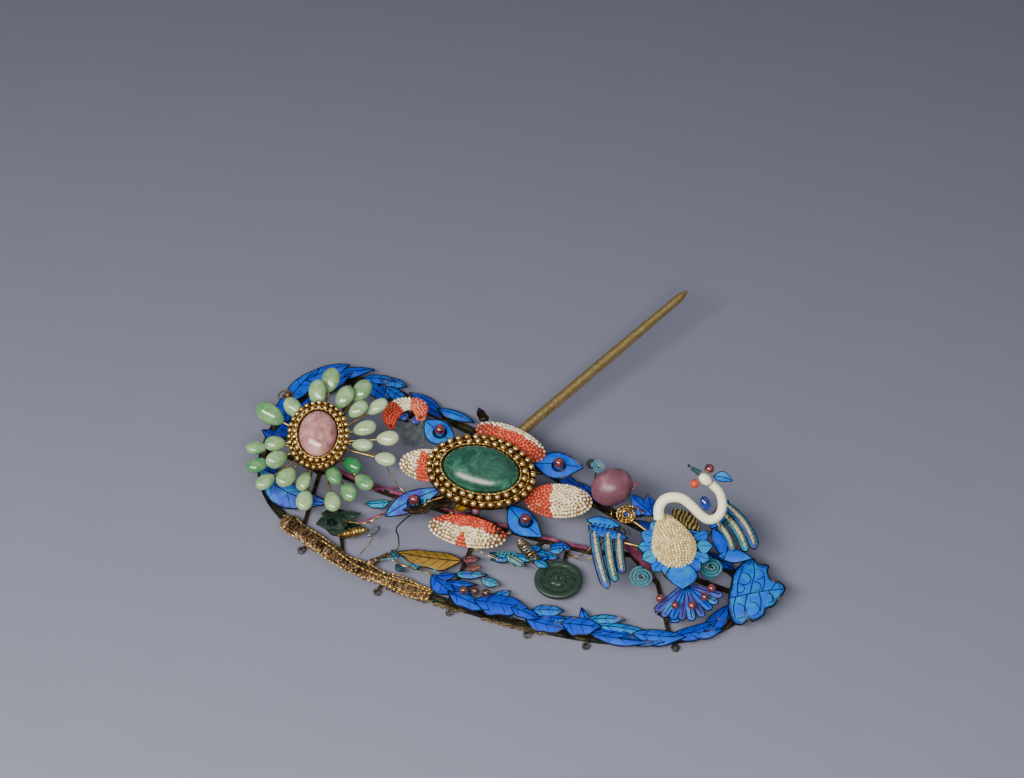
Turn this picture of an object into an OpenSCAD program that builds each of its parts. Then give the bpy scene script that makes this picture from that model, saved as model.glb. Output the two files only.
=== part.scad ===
// Flower hair ornament: a leaf shaped open base plate with a chrysanthemum, a four petal flower and a
// crane standing on it, a border of feather-covered leaves, six eyelets for strings and one long pin.
// The base plate lies on z = 0, +X runs along the plate to the end leaf, +Y runs to the pin's tip.

/* [Base plate] */
// Thickness of the pierced gilt base plate
plate_t = 1.4; // [1:0.1:2]
// Width of the rim strip
rim_w = 2.6; // [2:0.1:3.2]
// Width of the ribs inside the rim
rib_w = 1.3; // [1:0.1:2]
// Clear gap between pieces that are tied or pegged together
seat_gap = 0.2; // [0.15:0.01:0.3]

/* [Pin] */
// Length of the pin that stands clear of the plate
pin_l = 93; // [80:1:110]
// Radius of the pin's round shaft
pin_r = 2; // [1.5:0.05:2.2]
// Height of the pin's axis where it leaves the plate
pin_z = 7; // [5:0.5:9]
// Rise of the pin towards its tip in degrees
pin_rise = 4; // [0:0.5:8]

/* [Eyelets] */
// Outer radius of an eyelet
eyelet_r = 1.4; // [1.2:0.05:1.8]
// Radius of the eyelet's hole
eyelet_hole_r = 0.7; // [0.5:0.05:0.9]
// Height of an eyelet
eyelet_h = 1; // [0.8:0.1:1.2]

/* [Border leaves] */
// Thickness of a leaf at its edge
leaf_t = 0.8; // [0.6:0.1:1.2]
// Height of a leaf's vault above its edge, as a share of its width
leaf_vault = 0.16; // [0.08:0.01:0.22]

/* [Chrysanthemum] */
// Height of the rose stone's seat above the table
rose_z = 21; // [19:0.5:24]
// Half length of the rose stone
rose_a = 8.9; // [8:0.1:10]
// Half width of the rose stone
rose_b = 6.9; // [6:0.1:8]
// Height of the rose stone's dome
rose_h = 5; // [4:0.5:6]
// Lean of the flower towards the front, in degrees
rose_lean = 18; // [10:1:24]

/* [Four petal flower] */
// Height of the green stone's seat above the table
green_z = 18; // [16:0.5:20]
// Half length of the green stone
green_a = 13.8; // [12:0.1:15]
// Half width of the green stone
green_b = 9.4; // [8:0.1:10]
// Height of the green stone's dome
green_h = 5.5; // [4:0.5:7]
// Lean of the flower towards the front, in degrees
green_lean = 12; // [6:1:16]
// Radius of a gilt bead in the stones' settings
bead_r = 1.15; // [1:0.05:1.3]

/* [Crane] */
// Height of the crane's plumage above the table
crane_z = 15; // [13:0.5:18]
// Length of the crane's body below its widest place
body_a = 9.9; // [9:0.1:10.5]
// Length of the body from its widest place to the neck
body_n = 13.6; // [12.5:0.1:14]
// Half width of the crane's body
body_b = 8; // [7:0.1:8.4]
// Height of the crane's body
body_h = 6; // [5:0.5:7]
// Radius of the crane's neck where it leaves the body
neck_r = 1.9; // [1.7:0.1:2.2]
// Lean of the crane towards the front, in degrees
crane_lean = 8; // [4:1:12]

/* [Hidden] */
$fn = 40;

// Middle of the whole ornament in the layout, so that the origin lies below it
mid_x = 1.9;
mid_y = 28.25;
// The flowers lean towards the front left, square to this direction
front_turn = 21;
// Underside of everything that is soldered or tied on top of the base plate
deck_z = plate_t + seat_gap;

// Middle line of the rim, counter-clockwise from the left end: columns x, y
RIM = [
    [-95, -8], [-86, -27], [-68, -39.5], [-42, -48.5], [-12, -51.5], [22, -51.5], [54, -47],
    [80, -35], [92, -19], [85, -4], [62, 2], [31, 9], [-4, 22], [-40, 30], [-75, 37], [-94, 19]
];
// Foot of the pin's post on the base plate, and the turn of the pin seen from above
pin_foot = [-13.6, 18.3];
pin_root = [-12.45, 17.85];
pin_turn = 67.6;
// Eyelets: columns place along the rim, counted in its points, and length of the tab
EYELETS = [[2.31, 2.7], [3.43, 2.7], [4.27, 0.8], [5.1, 0.8], [5.72, 0.8], [6.7, 0.8]];
// Ribs of the base plate: columns x and y of one end, x and y of the other end
RIBS = [
    [-95, -8, -72, -9], [-72, -9, -45, -12], [-45, -12, 12, -13], [12, -13, 33, -12],
    [33, -12, 47, -8], [47, -8, 63, -10], [63, -10, 91, -12],
    [-72, -9, -78, 37], [-72, -9, -66, -40], [-56.4, -29, -46.6, -47.2], [-52.4, 24.6, -50, 32.4],
    [-12, -13, -12, -2], [-12, -2, pin_foot[0], pin_foot[1]],
    [pin_foot[0], pin_foot[1], -20, 26], [pin_foot[0], pin_foot[1], -4, 22],
    [-8, -13, -5, -51], [25, -12, 27.6, -30], [16, -13, 10, -27],
    [47, -8, 60, -17], [60, -17, 72, -39], [63, -10, 60, 2]
];
// Pegs that stand on the base plate: columns x, y, height of their top
PEGS = [[-52.4, 24.6, 5.8], [33.2, 8.2, 7.4]];

// Seats of the two flowers and of the crane in the layout: x, y, z
rose_at = [-71.4, -11, rose_z];
green_at = [-11.5, -3.8, green_z];
crane_at = [63.1, -10.4, crane_z];
// Lowest point of each flower's hub, below its seat
rose_hub_l = 8.2;
green_hub_l = 10.2;
crane_hub_l = 1.2;
// Place of the crane's neck where it leaves the body, and how far it stands up
neck_at = [55.6, -3.7, 21];
neck_lean = 55;

// Jade petals: columns angle, distance of the middle from the centre, length
PETALS_INNER = [
    [128, 15.4, 8.4], [93, 18.2, 9.4], [62, 18.6, 8.8], [40, 18, 7.8], [14, 16.8, 8.4],
    [-9, 15.8, 7.6], [-40, 16, 7.4], [-68, 15.4, 7.8], [-106, 17.4, 7.6],
    [-126, 18.6, 8.6], [-151, 16.8, 8], [-173, 15.6, 7.4]
];
PETALS_OUTER = [
    [149, 21, 11], [82, 24.8, 9.2], [54, 25, 9], [34, 24.8, 8.2], [3, 24.6, 8], [-16, 24.8, 7.6],
    [-44, 22.8, 7.8], [-61, 22.6, 7.6], [-77, 24, 8], [-101, 23.4, 8.2], [-140, 24.4, 7.8],
    [-157, 23.6, 8], [-174, 22.6, 7.4]
];
// Padded petals set with seed beads: columns angle, x and y of the middle, half length, half width
BEADED_PETALS = [
    [-28, 10.5, 15.2, 14, 6.4], [-3, 27.6, -9.2, 12.2, 7.1], [-13, -4.8, -21.6, 14.2, 6.4],
    [-8, -18.8, 5.4, 10.8, 6.8]
];
// Feather eyes between them: columns x and y of one end, x and y of the other end, width, bend
EYES = [
    [-20.5, 24.6, -9.6, 14.6, 10, 0], [19, 6.6, 36.6, 4.8, 11, 0.6],
    [10, -11, 21.6, -23.6, 10, -1], [-34, -15, -13.6, -3.6, 8, 1.2]
];

// Rows of the leaf tables below: x and y of the stem end, x and y of the tip, width, bend, lobes
ARCH = [
    [-92, 5, -98, 19, 7, 0.8, 0], [-96, 14, -92, 34.4, 7.5, 1, 0], [-94, 27, -82, 40.6, 7.5, 1, 0],
    [-87.5, 32.4, -72.4, 41.8, 5.6, 0.8, 0], [-91, 9, -87, 26, 5, -0.6, 0],
    [-88.4, 21.8, -79.4, 37.6, 5.2, 0.3, 0], [-90, 8.8, -102, 11.5, 4, 0, 0],
    [-90, -3, -99, -1.5, 5, 0, 0], [-92, -7, -92, 9, 5, 0, 0]
];
LEFT = [[-91, -20.5, -60.5, -26.4, 11.5, -4, 0], [-92, -13, -83, -24, 5.4, -0.6, 0]];
RUFFLED = [
    [-74.6, 35.8, -63, 39, 5.8, 0.8, 2], [-68, 38, -57.6, 37.8, 5.4, 0.6, 2],
    [-73, 35, -61, 29.6, 6.4, -0.6, 2], [-65, 34.6, -55.4, 31.6, 6.2, 0, 2],
    [-67, 36, -62, 28.6, 4.4, 0, 0]
];
LANCES = [
    [-55.8, 35.6, -40, 29.6, 4, 1.5, 0], [-54, 33, -39, 27.4, 3.6, 0.8, 0],
    [-43, 31.4, -27.6, 30, 4.6, 0.6, 0]
];
FRONT = [
    [-14.4, -44, -3.5, -49.3, 7, -0.4, 0], [-7.6, -40.6, 3.7, -36.6, 3.6, 0.3, 0],
    [-9.4, -45.4, 2, -42, 3, 0.4, 0], [2, -38.9, 9.5, -39.4, 4.2, 0, 0], [-9, -47.4, 3, -46, 4.6, 0.4, 0],
    [-6.5, -49, 10.2, -51.6, 7, 0, 2], [4, -50, 22.6, -46.5, 11, 0.5, 2], [9, -46, 14, -40.6, 4.4, 0, 0]
];
FRONT_RIGHT = [
    [24, -46.2, 34.5, -42.6, 6, 0.4, 2], [23.2, -50.8, 38.5, -49.6, 7, -0.3, 2],
    [25.4, -48.4, 37, -45.4, 4.6, 0, 0], [32.7, -49.5, 39.5, -43.8, 5.4, 0, 0],
    [35.5, -48.3, 49, -45, 9.4, 0, 2], [44.5, -46, 39.5, -38.6, 3.4, 0, 0],
    [43, -43.4, 55.5, -38.6, 4.6, 0.6, 0], [46.5, -44.6, 66, -41.2, 4.4, 0.8, 0],
    [46, -48.6, 68, -44.4, 5, -0.5, 0], [44, -47, 62, -44, 4, 0, 0],
    [60, -43.6, 77.5, -38.6, 7.2, -0.4, 0], [56, -46.8, 72, -42.4, 4.2, -0.3, 0],
    [72, -40.5, 85.5, -27.6, 6.2, -1.2, 0], [78, -36.4, 88.4, -30.8, 5, 0, 0],
    [82.6, -33.6, 86.8, -19.6, 6.2, -0.6, 0]
];
BACK = [
    [30, 10.5, 18.5, 15.8, 5, 0.5, 0], [20, 13.4, 7, 19.4, 4.6, 0.4, 0],
    [36.8, 7.4, 47.6, 11.6, 5.4, 0.5, 2], [57, 2.6, 44, 6, 5.2, -0.4, 2], [61, 2.2, 73, 2.4, 5, 0.4, 0],
    [72, 0.4, 84, -3.8, 5.2, 0.5, 2]
];
// Lobed outline of the end leaf, its midrib near x: columns x, y
END_LEAF = [
    [-10.2, -3], [-10.2, -7.4], [-8.8, -11.6], [-6, -12.4], [-3.4, -10.2], [-2.2, -11.2], [1.6, -9],
    [2.6, -6.4], [5, -5.6], [7.4, -2.4], [9.6, 1.2], [8, 4], [5.2, 4.8], [3.8, 8.6], [4.4, 11.6],
    [0.8, 12.2], [-1, 15], [-4.6, 12.6], [-7.6, 8.4], [-8.6, 4.6]
];
TWIGS = [
    [24.4, -20.4, 14, -20, 3.6, 0, 0], [21, -21, 13.4, -24.6, 3.6, 0, 0],
    [19, -22.6, 0.6, -26.8, 4, 0.4, 2], [9, -24.6, 2, -29.6, 3.4, 0.4, 0]
];
// The same columns, in the crane's own frame
SHOULDER = [
    [-6.6, 13.4, -14.6, 22.4, 6, 0, 0], [-7, 13, -8.6, 23, 4.6, -0.4, 0], [-8, 15, -17, 17.4, 4, 0, 0]
];
WING_LEFT = [
    [-27.4, 9.4, -23.1, -15.6, 3.4, -0.9, 0], [-22.6, 9, -20.4, -12.8, 3, -0.7, 0],
    [-18.6, 8, -17.8, -9.4, 3, -0.5, 0], [-29.6, 9.6, -15.6, 5, 5, 0, 2], [-30, 12.6, -18, 9.8, 5.4, 0.6, 2]
];
WING_RIGHT = [
    [18, 20.4, 28.8, 0.6, 3.6, 2.2, 0], [15.8, 17.6, 25.6, -0.4, 3.2, 2, 0],
    [14, 13.6, 20.8, -0.6, 3, 1.6, 0], [13.6, 9, 20.4, 21, 5, 0, 0], [15.6, -2.4, 27.6, -3.6, 5.4, 1, 0],
    [14, 9, 17.6, -3.4, 5, 1, 0]
];
TAIL = [
    [4.2, -14, -7, -24.7, 3, 0, 0], [4, -14, -4.6, -27, 2.6, 0, 0], [4, -14, -1.3, -28, 3, 0, 0],
    [4, -14, 2, -28.4, 2.6, 0, 0], [4, -14, 5.6, -28.6, 3, 0, 0], [4, -14, 9.4, -27, 2.6, 0, 0],
    [4, -14, 12.4, -24, 3, 0, 0], [4, -14, 14.8, -21.4, 2.6, 0, 0], [4, -14, 16.6, -18.2, 3, 0, 0]
];
// Middles of the garnet beads on the tail, in the crane's frame: columns x, y
TAIL_BEADS = [[-5.2, -20.6], [-0.1, -23.4], [5.7, -23.6], [10.2, -20], [12.6, -16.6]];
// Middle line of the neck in its own plane: columns x, y
NECK = [
    [-0.3, -1.4], [-0.4, 2.5], [1.3, 5.4], [4.5, 6.4], [8, 5.7], [11.1, 3.2], [14, 0.2],
    [16.8, -1.6], [19.6, -1], [21.3, 1.4], [21.6, 4.7], [20.4, 8.4], [17.8, 11.03]
];
// Middle line and half width of the coral bud: columns x, y, half width
BUD = [
    [-53.6, 13.2, 1.6], [-55.6, 17.6, 3.2], [-55, 23, 3.4], [-51.4, 26, 2.8], [-47.4, 25.6, 3.2],
    [-45, 21, 2]
];

// Point of a closed smooth curve through the points p, at place s counted in points
function wrap(p, i) = p[(i + len(p)) % len(p)];
function curve_point(p, s) =
    let (i = floor(s), t = s - i, a = wrap(p, i - 1), b = wrap(p, i), c = wrap(p, i + 1), d = wrap(p, i + 2))
    0.5 * (2 * b + (c - a) * t + (2 * a - 5 * b + 4 * c - d) * t * t + (3 * b - a - 3 * c + d) * t * t * t);
function unit(v) = v / norm(v);
// Outward normal of that curve
function curve_normal(p, s) =
    let (d = curve_point(p, s + 0.02) - curve_point(p, s - 0.02)) unit([d[1], -d[0]]);
function curve_beside(p, s, out) = curve_point(p, s) + out * curve_normal(p, s);

// Point of an open smooth curve through the rows p, at place s counted in rows
function row_at(p, i) = p[max(0, min(len(p) - 1, i))];
function row_point(p, s) =
    let (i = min(len(p) - 2, floor(s)), t = s - i,
         a = row_at(p, i - 1), b = row_at(p, i), c = row_at(p, i + 1), d = row_at(p, i + 2))
    0.5 * (2 * b + (c - a) * t + (2 * a - 5 * b + 4 * c - d) * t * t + (3 * b - a - 3 * c + d) * t * t * t);
function smooth_rows(p, steps) = [for (k = [0 : steps]) row_point(p, k * (len(p) - 1) / steps)];

function ellipse(a, b, n = 64) = [for (k = [0 : n - 1]) [a * cos(360 * k / n), b * sin(360 * k / n)]];

// Moves layout coordinates so that the origin lies below the ornament's middle
module place() {
    translate([-mid_x, -mid_y, 0]) children();
}

// Frame of a flower or of the crane: at x, y and z of the layout, turned to the front and leaning to it
module leaning(at, lean) {
    place() translate(at) rotate([0, 0, front_turn]) rotate([lean, 0, 0]) children();
}

// Straight round bar between two points
module bar(p, q, r) {
    d = q - p;
    translate(p) rotate([0, acos(d[2] / norm(d)), atan2(d[1], d[0])]) cylinder(r = r, h = norm(d), $fn = 20);
}

// Level arm from the skin of an upright hub out to the point p
module arm(p, hub_r, r) {
    near = (hub_r - 0.6) * unit([p[0], p[1]]);
    bar([near[0], near[1], p[2]], p, r);
}

// Flat strip between two points of the plane
module strip(x1, y1, x2, y2, w) {
    l = norm([x2 - x1, y2 - y1]);
    translate([x1, y1]) rotate(atan2(y2 - y1, x2 - x1)) translate([0, -w / 2]) square([l, w]);
}

// Body swept along rows of x, y, z, half width and half height, with its width kept level
module sweep(rows, sides) {
    n = len(rows);
    pos = [for (r = rows) [r[0], r[1], r[2]]];
    points = [
        for (i = [0 : n - 1])
            let (t = unit(pos[min(n - 1, i + 1)] - pos[max(0, i - 1)]),
                 side = unit(cross([0, 0, 1], t)), rise = cross(t, side))
            for (k = [0 : sides - 1])
                pos[i] + rows[i][3] * cos(360 * k / sides) * side + rows[i][4] * sin(360 * k / sides) * rise
    ];
    walls = [
        for (i = [0 : n - 2], k = [0 : sides - 1])
            let (a = i * sides + k, b = i * sides + (k + 1) % sides)
            [a, b, b + sides, a + sides]
    ];
    first = [for (k = [sides - 1 : -1 : 0]) k];
    last = [for (k = [0 : sides - 1]) (n - 1) * sides + k];
    polyhedron(points = points, faces = concat([first], walls, [last]), convexity = 6);
}

// Outline of a leaf along +x: pointed at both ends, bent sideways and cut into lobes
function leaf_outline(l, w, bend, belly = 0.45, lobes = 0, depth = 0) =
    let (n = lobes > 0 ? 6 * lobes : 12,
         half = function (t) w / 2 * sin(180 * pow(t, log(0.5) / log(belly)))
                             * (1 - depth * (0.5 + 0.5 * cos(360 * lobes * t))),
         mid = function (t) 4 * bend * t * (1 - t))
    concat([for (k = [0 : n]) let (t = k / n) [l * t, mid(t) - half(t)]],
           [for (k = [n - 1 : -1 : 1]) let (t = k / n) [l * t, mid(t) + half(t)]]);

// Vaulted leaf along +x with its underside on z = 0
module leaf(l, w, bend, belly = 0.45, lobes = 0, depth = 0, vault = leaf_vault) {
    rise = vault * w;
    r = (w * w / 4 + rise * rise) / (2 * rise);
    outline = leaf_outline(l, w, bend, belly, lobes, depth);
    linear_extrude(leaf_t) polygon(outline);
    intersection() {
        linear_extrude(leaf_t + rise) polygon(outline);
        translate([-1, bend * 0.7, leaf_t + rise - r]) rotate([0, 90, 0])
            cylinder(r = r, h = l + 2, $fn = 48);
    }
}

// Leaves of a table: columns x and y of the stem end, x and y of the tip, width, bend, lobes
module leaves(rows, z) {
    for (r = rows)
        translate([r[0], r[1], z])
            rotate([0, 0, atan2(r[3] - r[1], r[2] - r[0])])
                leaf(norm([r[2] - r[0], r[3] - r[1]]), r[4], r[5], lobes = r[6], depth = r[6] > 0 ? 0.22 : 0);
}

// Half egg dome on z = 0 with half length a, half width b and height h
module dome(a, b, h) {
    intersection() {
        scale([a, b, h]) sphere(1, $fn = 48);
        translate([-a - 1, -b - 1, 0]) cube([2 * a + 2, 2 * b + 2, h + 1]);
    }
}

// Drop shaped stone along +x: its narrow end at x = 0, its broad end at x = l
module drop(l, w, t) {
    broad = 0.42 * l;
    translate([l - broad, 0, 0]) {
        intersection() {
            scale([broad, w / 2, t / 2]) sphere(1, $fn = 32);
            translate([0, -w, -w]) cube([l, 2 * w, 2 * w]);
        }
        intersection() {
            scale([l - broad, w / 2, t / 2]) sphere(1, $fn = 32);
            translate([-l, -w, -w]) cube([l, 2 * w, 2 * w]);
        }
    }
}

// Wire coiled flat round z, from radius r0 to radius r1
module flat_coil(r0, r1, turns, wire) {
    steps = 14 * turns;
    sweep([for (k = [0 : steps])
        let (a = 360 * turns * k / steps, r = r0 + (r1 - r0) * k / steps)
        [r * cos(a), r * sin(a), 0, wire, wire]], 6);
}

// Layout coordinates of the point p of a leaning frame
function lean_point(at, lean, p) =
    let (y = p[1] * cos(lean) - p[2] * sin(lean), z = p[1] * sin(lean) + p[2] * cos(lean))
    at + [p[0] * cos(front_turn) - y * sin(front_turn), p[0] * sin(front_turn) + y * cos(front_turn), z];
rose_foot = lean_point(rose_at, rose_lean, [0, 0, -rose_hub_l]);
green_foot = lean_point(green_at, green_lean, [0, 0, -green_hub_l]);
crane_foot = lean_point(crane_at, crane_lean, [0, 0, -crane_hub_l]);

// Upright stem from its foot on the base plate up to the point p of the layout
module stem(p) {
    place() translate([p[0], p[1], deck_z]) {
        cylinder(r = 1.5, h = p[2] - deck_z + 0.7);
        cylinder(r = 3, h = 0.8);
    }
}

// Places of n beads spread evenly along an ellipse
function bead_places(a, b, n) =
    let (e = (a * a - b * b) / (2 * (a * a + b * b)))
    [for (k = [0 : n - 1]) let (u = 360 * k / n, t = u + e / 2 * 57.3 * sin(2 * u)) [a * cos(t), b * sin(t)]];

// Stepped oval plate with two rows of beads and a thin wall round a stone of half axes a and b
module bead_setting(a, b, r, n_in, n_out) {
    in_a = a + 1.8 * r;
    in_b = b + 1.7 * r;
    out_a = in_a + 2.5 * r;
    out_b = in_b + 2.1 * r;
    translate([0, 0, -1.2]) linear_extrude(1) polygon(ellipse(in_a + 0.8 * r, in_b + 0.8 * r));
    translate([0, 0, -2.4]) linear_extrude(1.3) polygon(ellipse(out_a + 0.8 * r, out_b + 0.8 * r));
    translate([0, 0, -0.3]) linear_extrude(1.2) difference() {
        polygon(ellipse(a + 0.8, b + 0.8));
        polygon(ellipse(a + seat_gap, b + seat_gap));
    }
    for (p = bead_places(in_a, in_b, n_in)) translate([p[0], p[1], -0.2 + 0.7 * r]) sphere(r);
    for (p = bead_places(out_a, out_b, n_out)) translate([p[0], p[1], -1.1 + 0.7 * r]) sphere(r);
}

module base_plate() {
    steps = 5 * len(RIM);
    color("goldenrod") place() {
        linear_extrude(plate_t) {
            difference() {
                polygon([for (k = [0 : steps - 1]) curve_beside(RIM, k * len(RIM) / steps, rim_w / 2)]);
                polygon([for (k = [0 : steps - 1]) curve_beside(RIM, k * len(RIM) / steps, -rim_w / 2)]);
            }
            for (r = RIBS) strip(r[0], r[1], r[2], r[3], rib_w);
            for (p = [rose_foot, green_foot, crane_foot, pin_foot]) translate([p[0], p[1]]) circle(3.2);
        }
        for (p = PEGS) translate([p[0], p[1], 0]) cylinder(r = 1, h = p[2]);
    }
}

module trunk() {
    steps = 18;
    from = 1.75;
    to = 4.02;
    color("darkgoldenrod") place() {
        sweep([for (k = [0 : steps])
            let (t = k / steps, s = from + (to - from) * t,
                 p = curve_beside(RIM, s, 0.9 + 0.3 * sin(900 * t)), thick = 1.5 - 0.4 * t)
            [p[0], p[1], deck_z + thick, 3.5 - 0.7 * t + 0.3 * sin(1300 * t), thick]], 12);
        sweep([for (k = [0 : 4])
            let (t = k / 4)
            [-38 + 5.4 * t, -47.6 + 7.6 * t, deck_z + 1, 1.6 - 0.7 * t, 1]], 8);
    }
}

module pin() {
    inside = 10;
    point_l = 4;
    taper_l = 40;
    taper = 0.35;
    // Ferrule that joins the shaft to its post
    ferrule_r = pin_r + 0.2;
    ferrule_l = 3.2;
    post_r = 2.1;
    shaft_l = inside + pin_l - point_l - taper_l;
    color("goldenrod") place() {
        translate([pin_root[0], pin_root[1], pin_z]) rotate([0, 90 - pin_rise, pin_turn]) {
            cylinder(r = pin_r, h = shaft_l);
            cylinder(r = ferrule_r, h = ferrule_l);
            translate([0, 0, shaft_l]) cylinder(r1 = pin_r, r2 = pin_r - taper, h = taper_l);
            translate([0, 0, shaft_l + taper_l]) cylinder(r1 = pin_r - taper, r2 = 0.6, h = point_l);
        }
        translate([pin_foot[0], pin_foot[1], deck_z]) {
            cylinder(r = post_r, h = pin_z + post_r + 0.2 - deck_z);
            cylinder(r = 3, h = 1);
        }
    }
}

// Eyelet with an upright hole, on a short tab beside the rim
module eyelet(k) {
    s = EYELETS[k][0];
    tab = EYELETS[k][1];
    p = curve_point(RIM, s);
    out = curve_normal(RIM, s);
    near = rim_w / 2 + 0.15;
    color("goldenrod") place() translate([p[0], p[1], 0.2]) rotate(atan2(out[1], out[0])) difference() {
        union() {
            translate([near + tab + eyelet_r, 0, 0]) cylinder(r = eyelet_r, h = eyelet_h);
            translate([near, -0.6, 0]) cube([tab + 0.5, 1.2, eyelet_h]);
        }
        translate([near + tab + eyelet_r, 0, -1]) cylinder(r = eyelet_hole_r, h = eyelet_h + 2);
    }
}

module leaves_arch() {
    color("royalblue") place() leaves(ARCH, deck_z);
}
module leaf_left() {
    color("royalblue") place() leaves(LEFT, deck_z);
}
module leaves_ruffled() {
    color("dodgerblue") place() leaves(RUFFLED, deck_z);
}
module leaves_lance() {
    color("royalblue") place() leaves(LANCES, deck_z);
}
module leaves_front() {
    color("dodgerblue") place() leaves(FRONT, deck_z);
}
module leaves_front_right() {
    color("dodgerblue") place() leaves(FRONT_RIGHT, deck_z);
}
module leaves_back() {
    color("royalblue") place() leaves(BACK, deck_z);
}
module end_leaf() {
    rise = 2;
    r = 48;
    color("royalblue") leaning([95.1, -13.1, 4.4], 8) intersection() {
        linear_extrude(leaf_t + rise) polygon(END_LEAF);
        translate([-12, 0, leaf_t + rise - r]) rotate([0, 90, 4]) cylinder(r = r, h = 24, $fn = 96);
    }
}
module twigs() {
    color("steelblue") place() leaves(TWIGS, deck_z);
}

module jade_leaf() {
    color("darkslategray") place() leaves([[-61.6, -37, -49, -26.6, 9, 0, 3]], deck_z);
}
module amber_leaf() {
    color("goldenrod") place() leaves([[-6.4, -34.4, -29.8, -38.8, 9.6, 0.8, 2]], deck_z);
}
// Bud of close-wound gilt wire
module coiled_bud() {
    l = 11;
    color("peru") place() translate([-52.4, -39, deck_z + 1.8]) rotate([0, 90, 37]) rotate_extrude()
        polygon(concat(
            [[0, 0]], [for (k = [0 : 10]) [0.5 + 1.3 * sin(18 * k) - (k % 2) * 0.25, l * k / 10]], [[0, l]]));
}
// Round jade disc with a raised border and middle
module jade_disc() {
    color("darkgreen") place() translate([27.6, -29.6, deck_z]) rotate_extrude($fn = 64)
        polygon([
            [0, 0], [8, 0], [8.4, 0.5], [8.4, 1.6], [7.8, 2], [6.8, 2], [6.2, 1.6], [3, 1.6], [2.4, 2], [0, 2]
        ]);
}
module silk_stems() {
    r = 0.8;
    z = plate_t + seat_gap + r;
    color("mediumvioletred") place() {
        bar([-68, -9.4, z], [-46, -11.9, z], r);
        bar([-43.6, -12, z], [9, -12.95, z], r);
        bar([14, -12.9, z], [32, -12.05, z], r);
        bar([48.6, -9, z], [58.6, -16, z], r);
    }
}

module rose_stone() {
    color("rosybrown") leaning(rose_at, rose_lean) rotate(90) dome(rose_a, rose_b, rose_h);
}
module rose_setting() {
    color("goldenrod") leaning(rose_at, rose_lean) rotate(90) bead_setting(rose_a, rose_b, 0.9, 26, 31);
}
inner_z = -4.4;
outer_z = -7;
// Upper sides of the petals point outwards and a little up
petal_rise = 8;
module jade_petals(rows, z) {
    leaning(rose_at, rose_lean)
        for (r = rows)
            rotate(r[0]) translate([r[1] - r[2] / 2, 0, z]) rotate([0, -petal_rise, 0])
                drop(r[2], 0.66 * r[2], 0.44 * r[2]);
}
module jade_petals_inner() {
    color("darkseagreen") jade_petals(PETALS_INNER, inner_z);
}
module jade_petals_outer() {
    color("darkseagreen") jade_petals(PETALS_OUTER, outer_z);
}
module petal_wires() {
    hub_r = 3.2;
    color("goldenrod") {
        leaning(rose_at, rose_lean) {
            translate([0, 0, -rose_hub_l]) cylinder(r = hub_r, h = rose_hub_l - 2.4 - seat_gap);
            for (r = PETALS_INNER) rotate(r[0])
                bar([hub_r - 1, 0, inner_z + 0.4], [r[1] - r[2] / 2 - seat_gap, 0, inner_z], 0.4);
            for (r = PETALS_OUTER) rotate(r[0])
                bar([hub_r - 1, 0, outer_z - 0.2], [r[1] - r[2] / 2 - seat_gap, 0, outer_z], 0.4);
        }
        stem(rose_foot);
    }
}

// Turn of the green stone in its flower
green_turn = -14;
petal_z = -6;
eye_z = -8.2;
// Vault of an eye, as a share of its width
eye_vault = 0.08;
function eye_middle(e) = [(e[0] + e[2]) / 2, (e[1] + e[3]) / 2];
module green_stone() {
    color("seagreen") leaning(green_at, green_lean) rotate(green_turn) dome(green_a, green_b, green_h);
}
module green_setting() {
    hub_r = 2.6;
    arm_r = 0.7;
    color("goldenrod") {
        leaning(green_at, green_lean) {
            rotate(green_turn) bead_setting(green_a, green_b, bead_r, 27, 33);
            translate([0, 0, -green_hub_l]) cylinder(r = hub_r, h = green_hub_l - 2);
            for (p = BEADED_PETALS) arm([p[1], p[2], petal_z - seat_gap - arm_r], hub_r, arm_r);
            for (e = EYES) let (m = eye_middle(e)) arm([m[0], m[1], eye_z - seat_gap - arm_r], hub_r, arm_r);
        }
        stem(green_foot);
    }
}
module beaded_petal(k) {
    p = BEADED_PETALS[k];
    leaning(green_at, green_lean) translate([p[1], p[2], petal_z]) rotate(p[0]) dome(p[3], p[4], 3.4);
}
module petal_back() {
    color("tomato") beaded_petal(0);
}
module petal_right() {
    color("tomato") beaded_petal(1);
}
module petal_front() {
    color("tomato") beaded_petal(2);
}
module petal_left() {
    color("tomato") beaded_petal(3);
}
module feather_eye(k) {
    e = EYES[k];
    color("dodgerblue") leaning(green_at, green_lean) translate([e[0], e[1], eye_z])
        rotate(atan2(e[3] - e[1], e[2] - e[0]))
            leaf(norm([e[2] - e[0], e[3] - e[1]]), e[4], e[5], vault = eye_vault);
}
module eye_garnets() {
    r = 1.9;
    color("darkred") leaning(green_at, green_lean)
        for (e = EYES)
            let (m = eye_middle(e))
                translate([m[0], m[1], eye_z + leaf_t + eye_vault * e[4] + seat_gap + r]) sphere(r);
}

module coral_bud() {
    rows = smooth_rows(BUD, 16);
    color("tomato") place() sweep([for (r = rows) [r[0], r[1], 8.2, r[2], 2.2]], 12);
}
module front_garnets() {
    r = 1.6;
    color("sienna") place()
        for (p = [[-0.6, -48.4], [3.2, -47.2], [7.2, -46.8]])
            translate([p[0], p[1], 4.4 + r]) sphere(r);
}
module pink_bead() {
    color("palevioletred") place() translate([33.6, 8.6, 14.2]) rotate([0, -18, 40])
        scale([7.7, 6.7, 6.4]) sphere(1, $fn = 48);
}

// The body is an egg whose narrow end runs under the neck
body_turn = 104;
egg_narrowing = 0.03;
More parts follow.
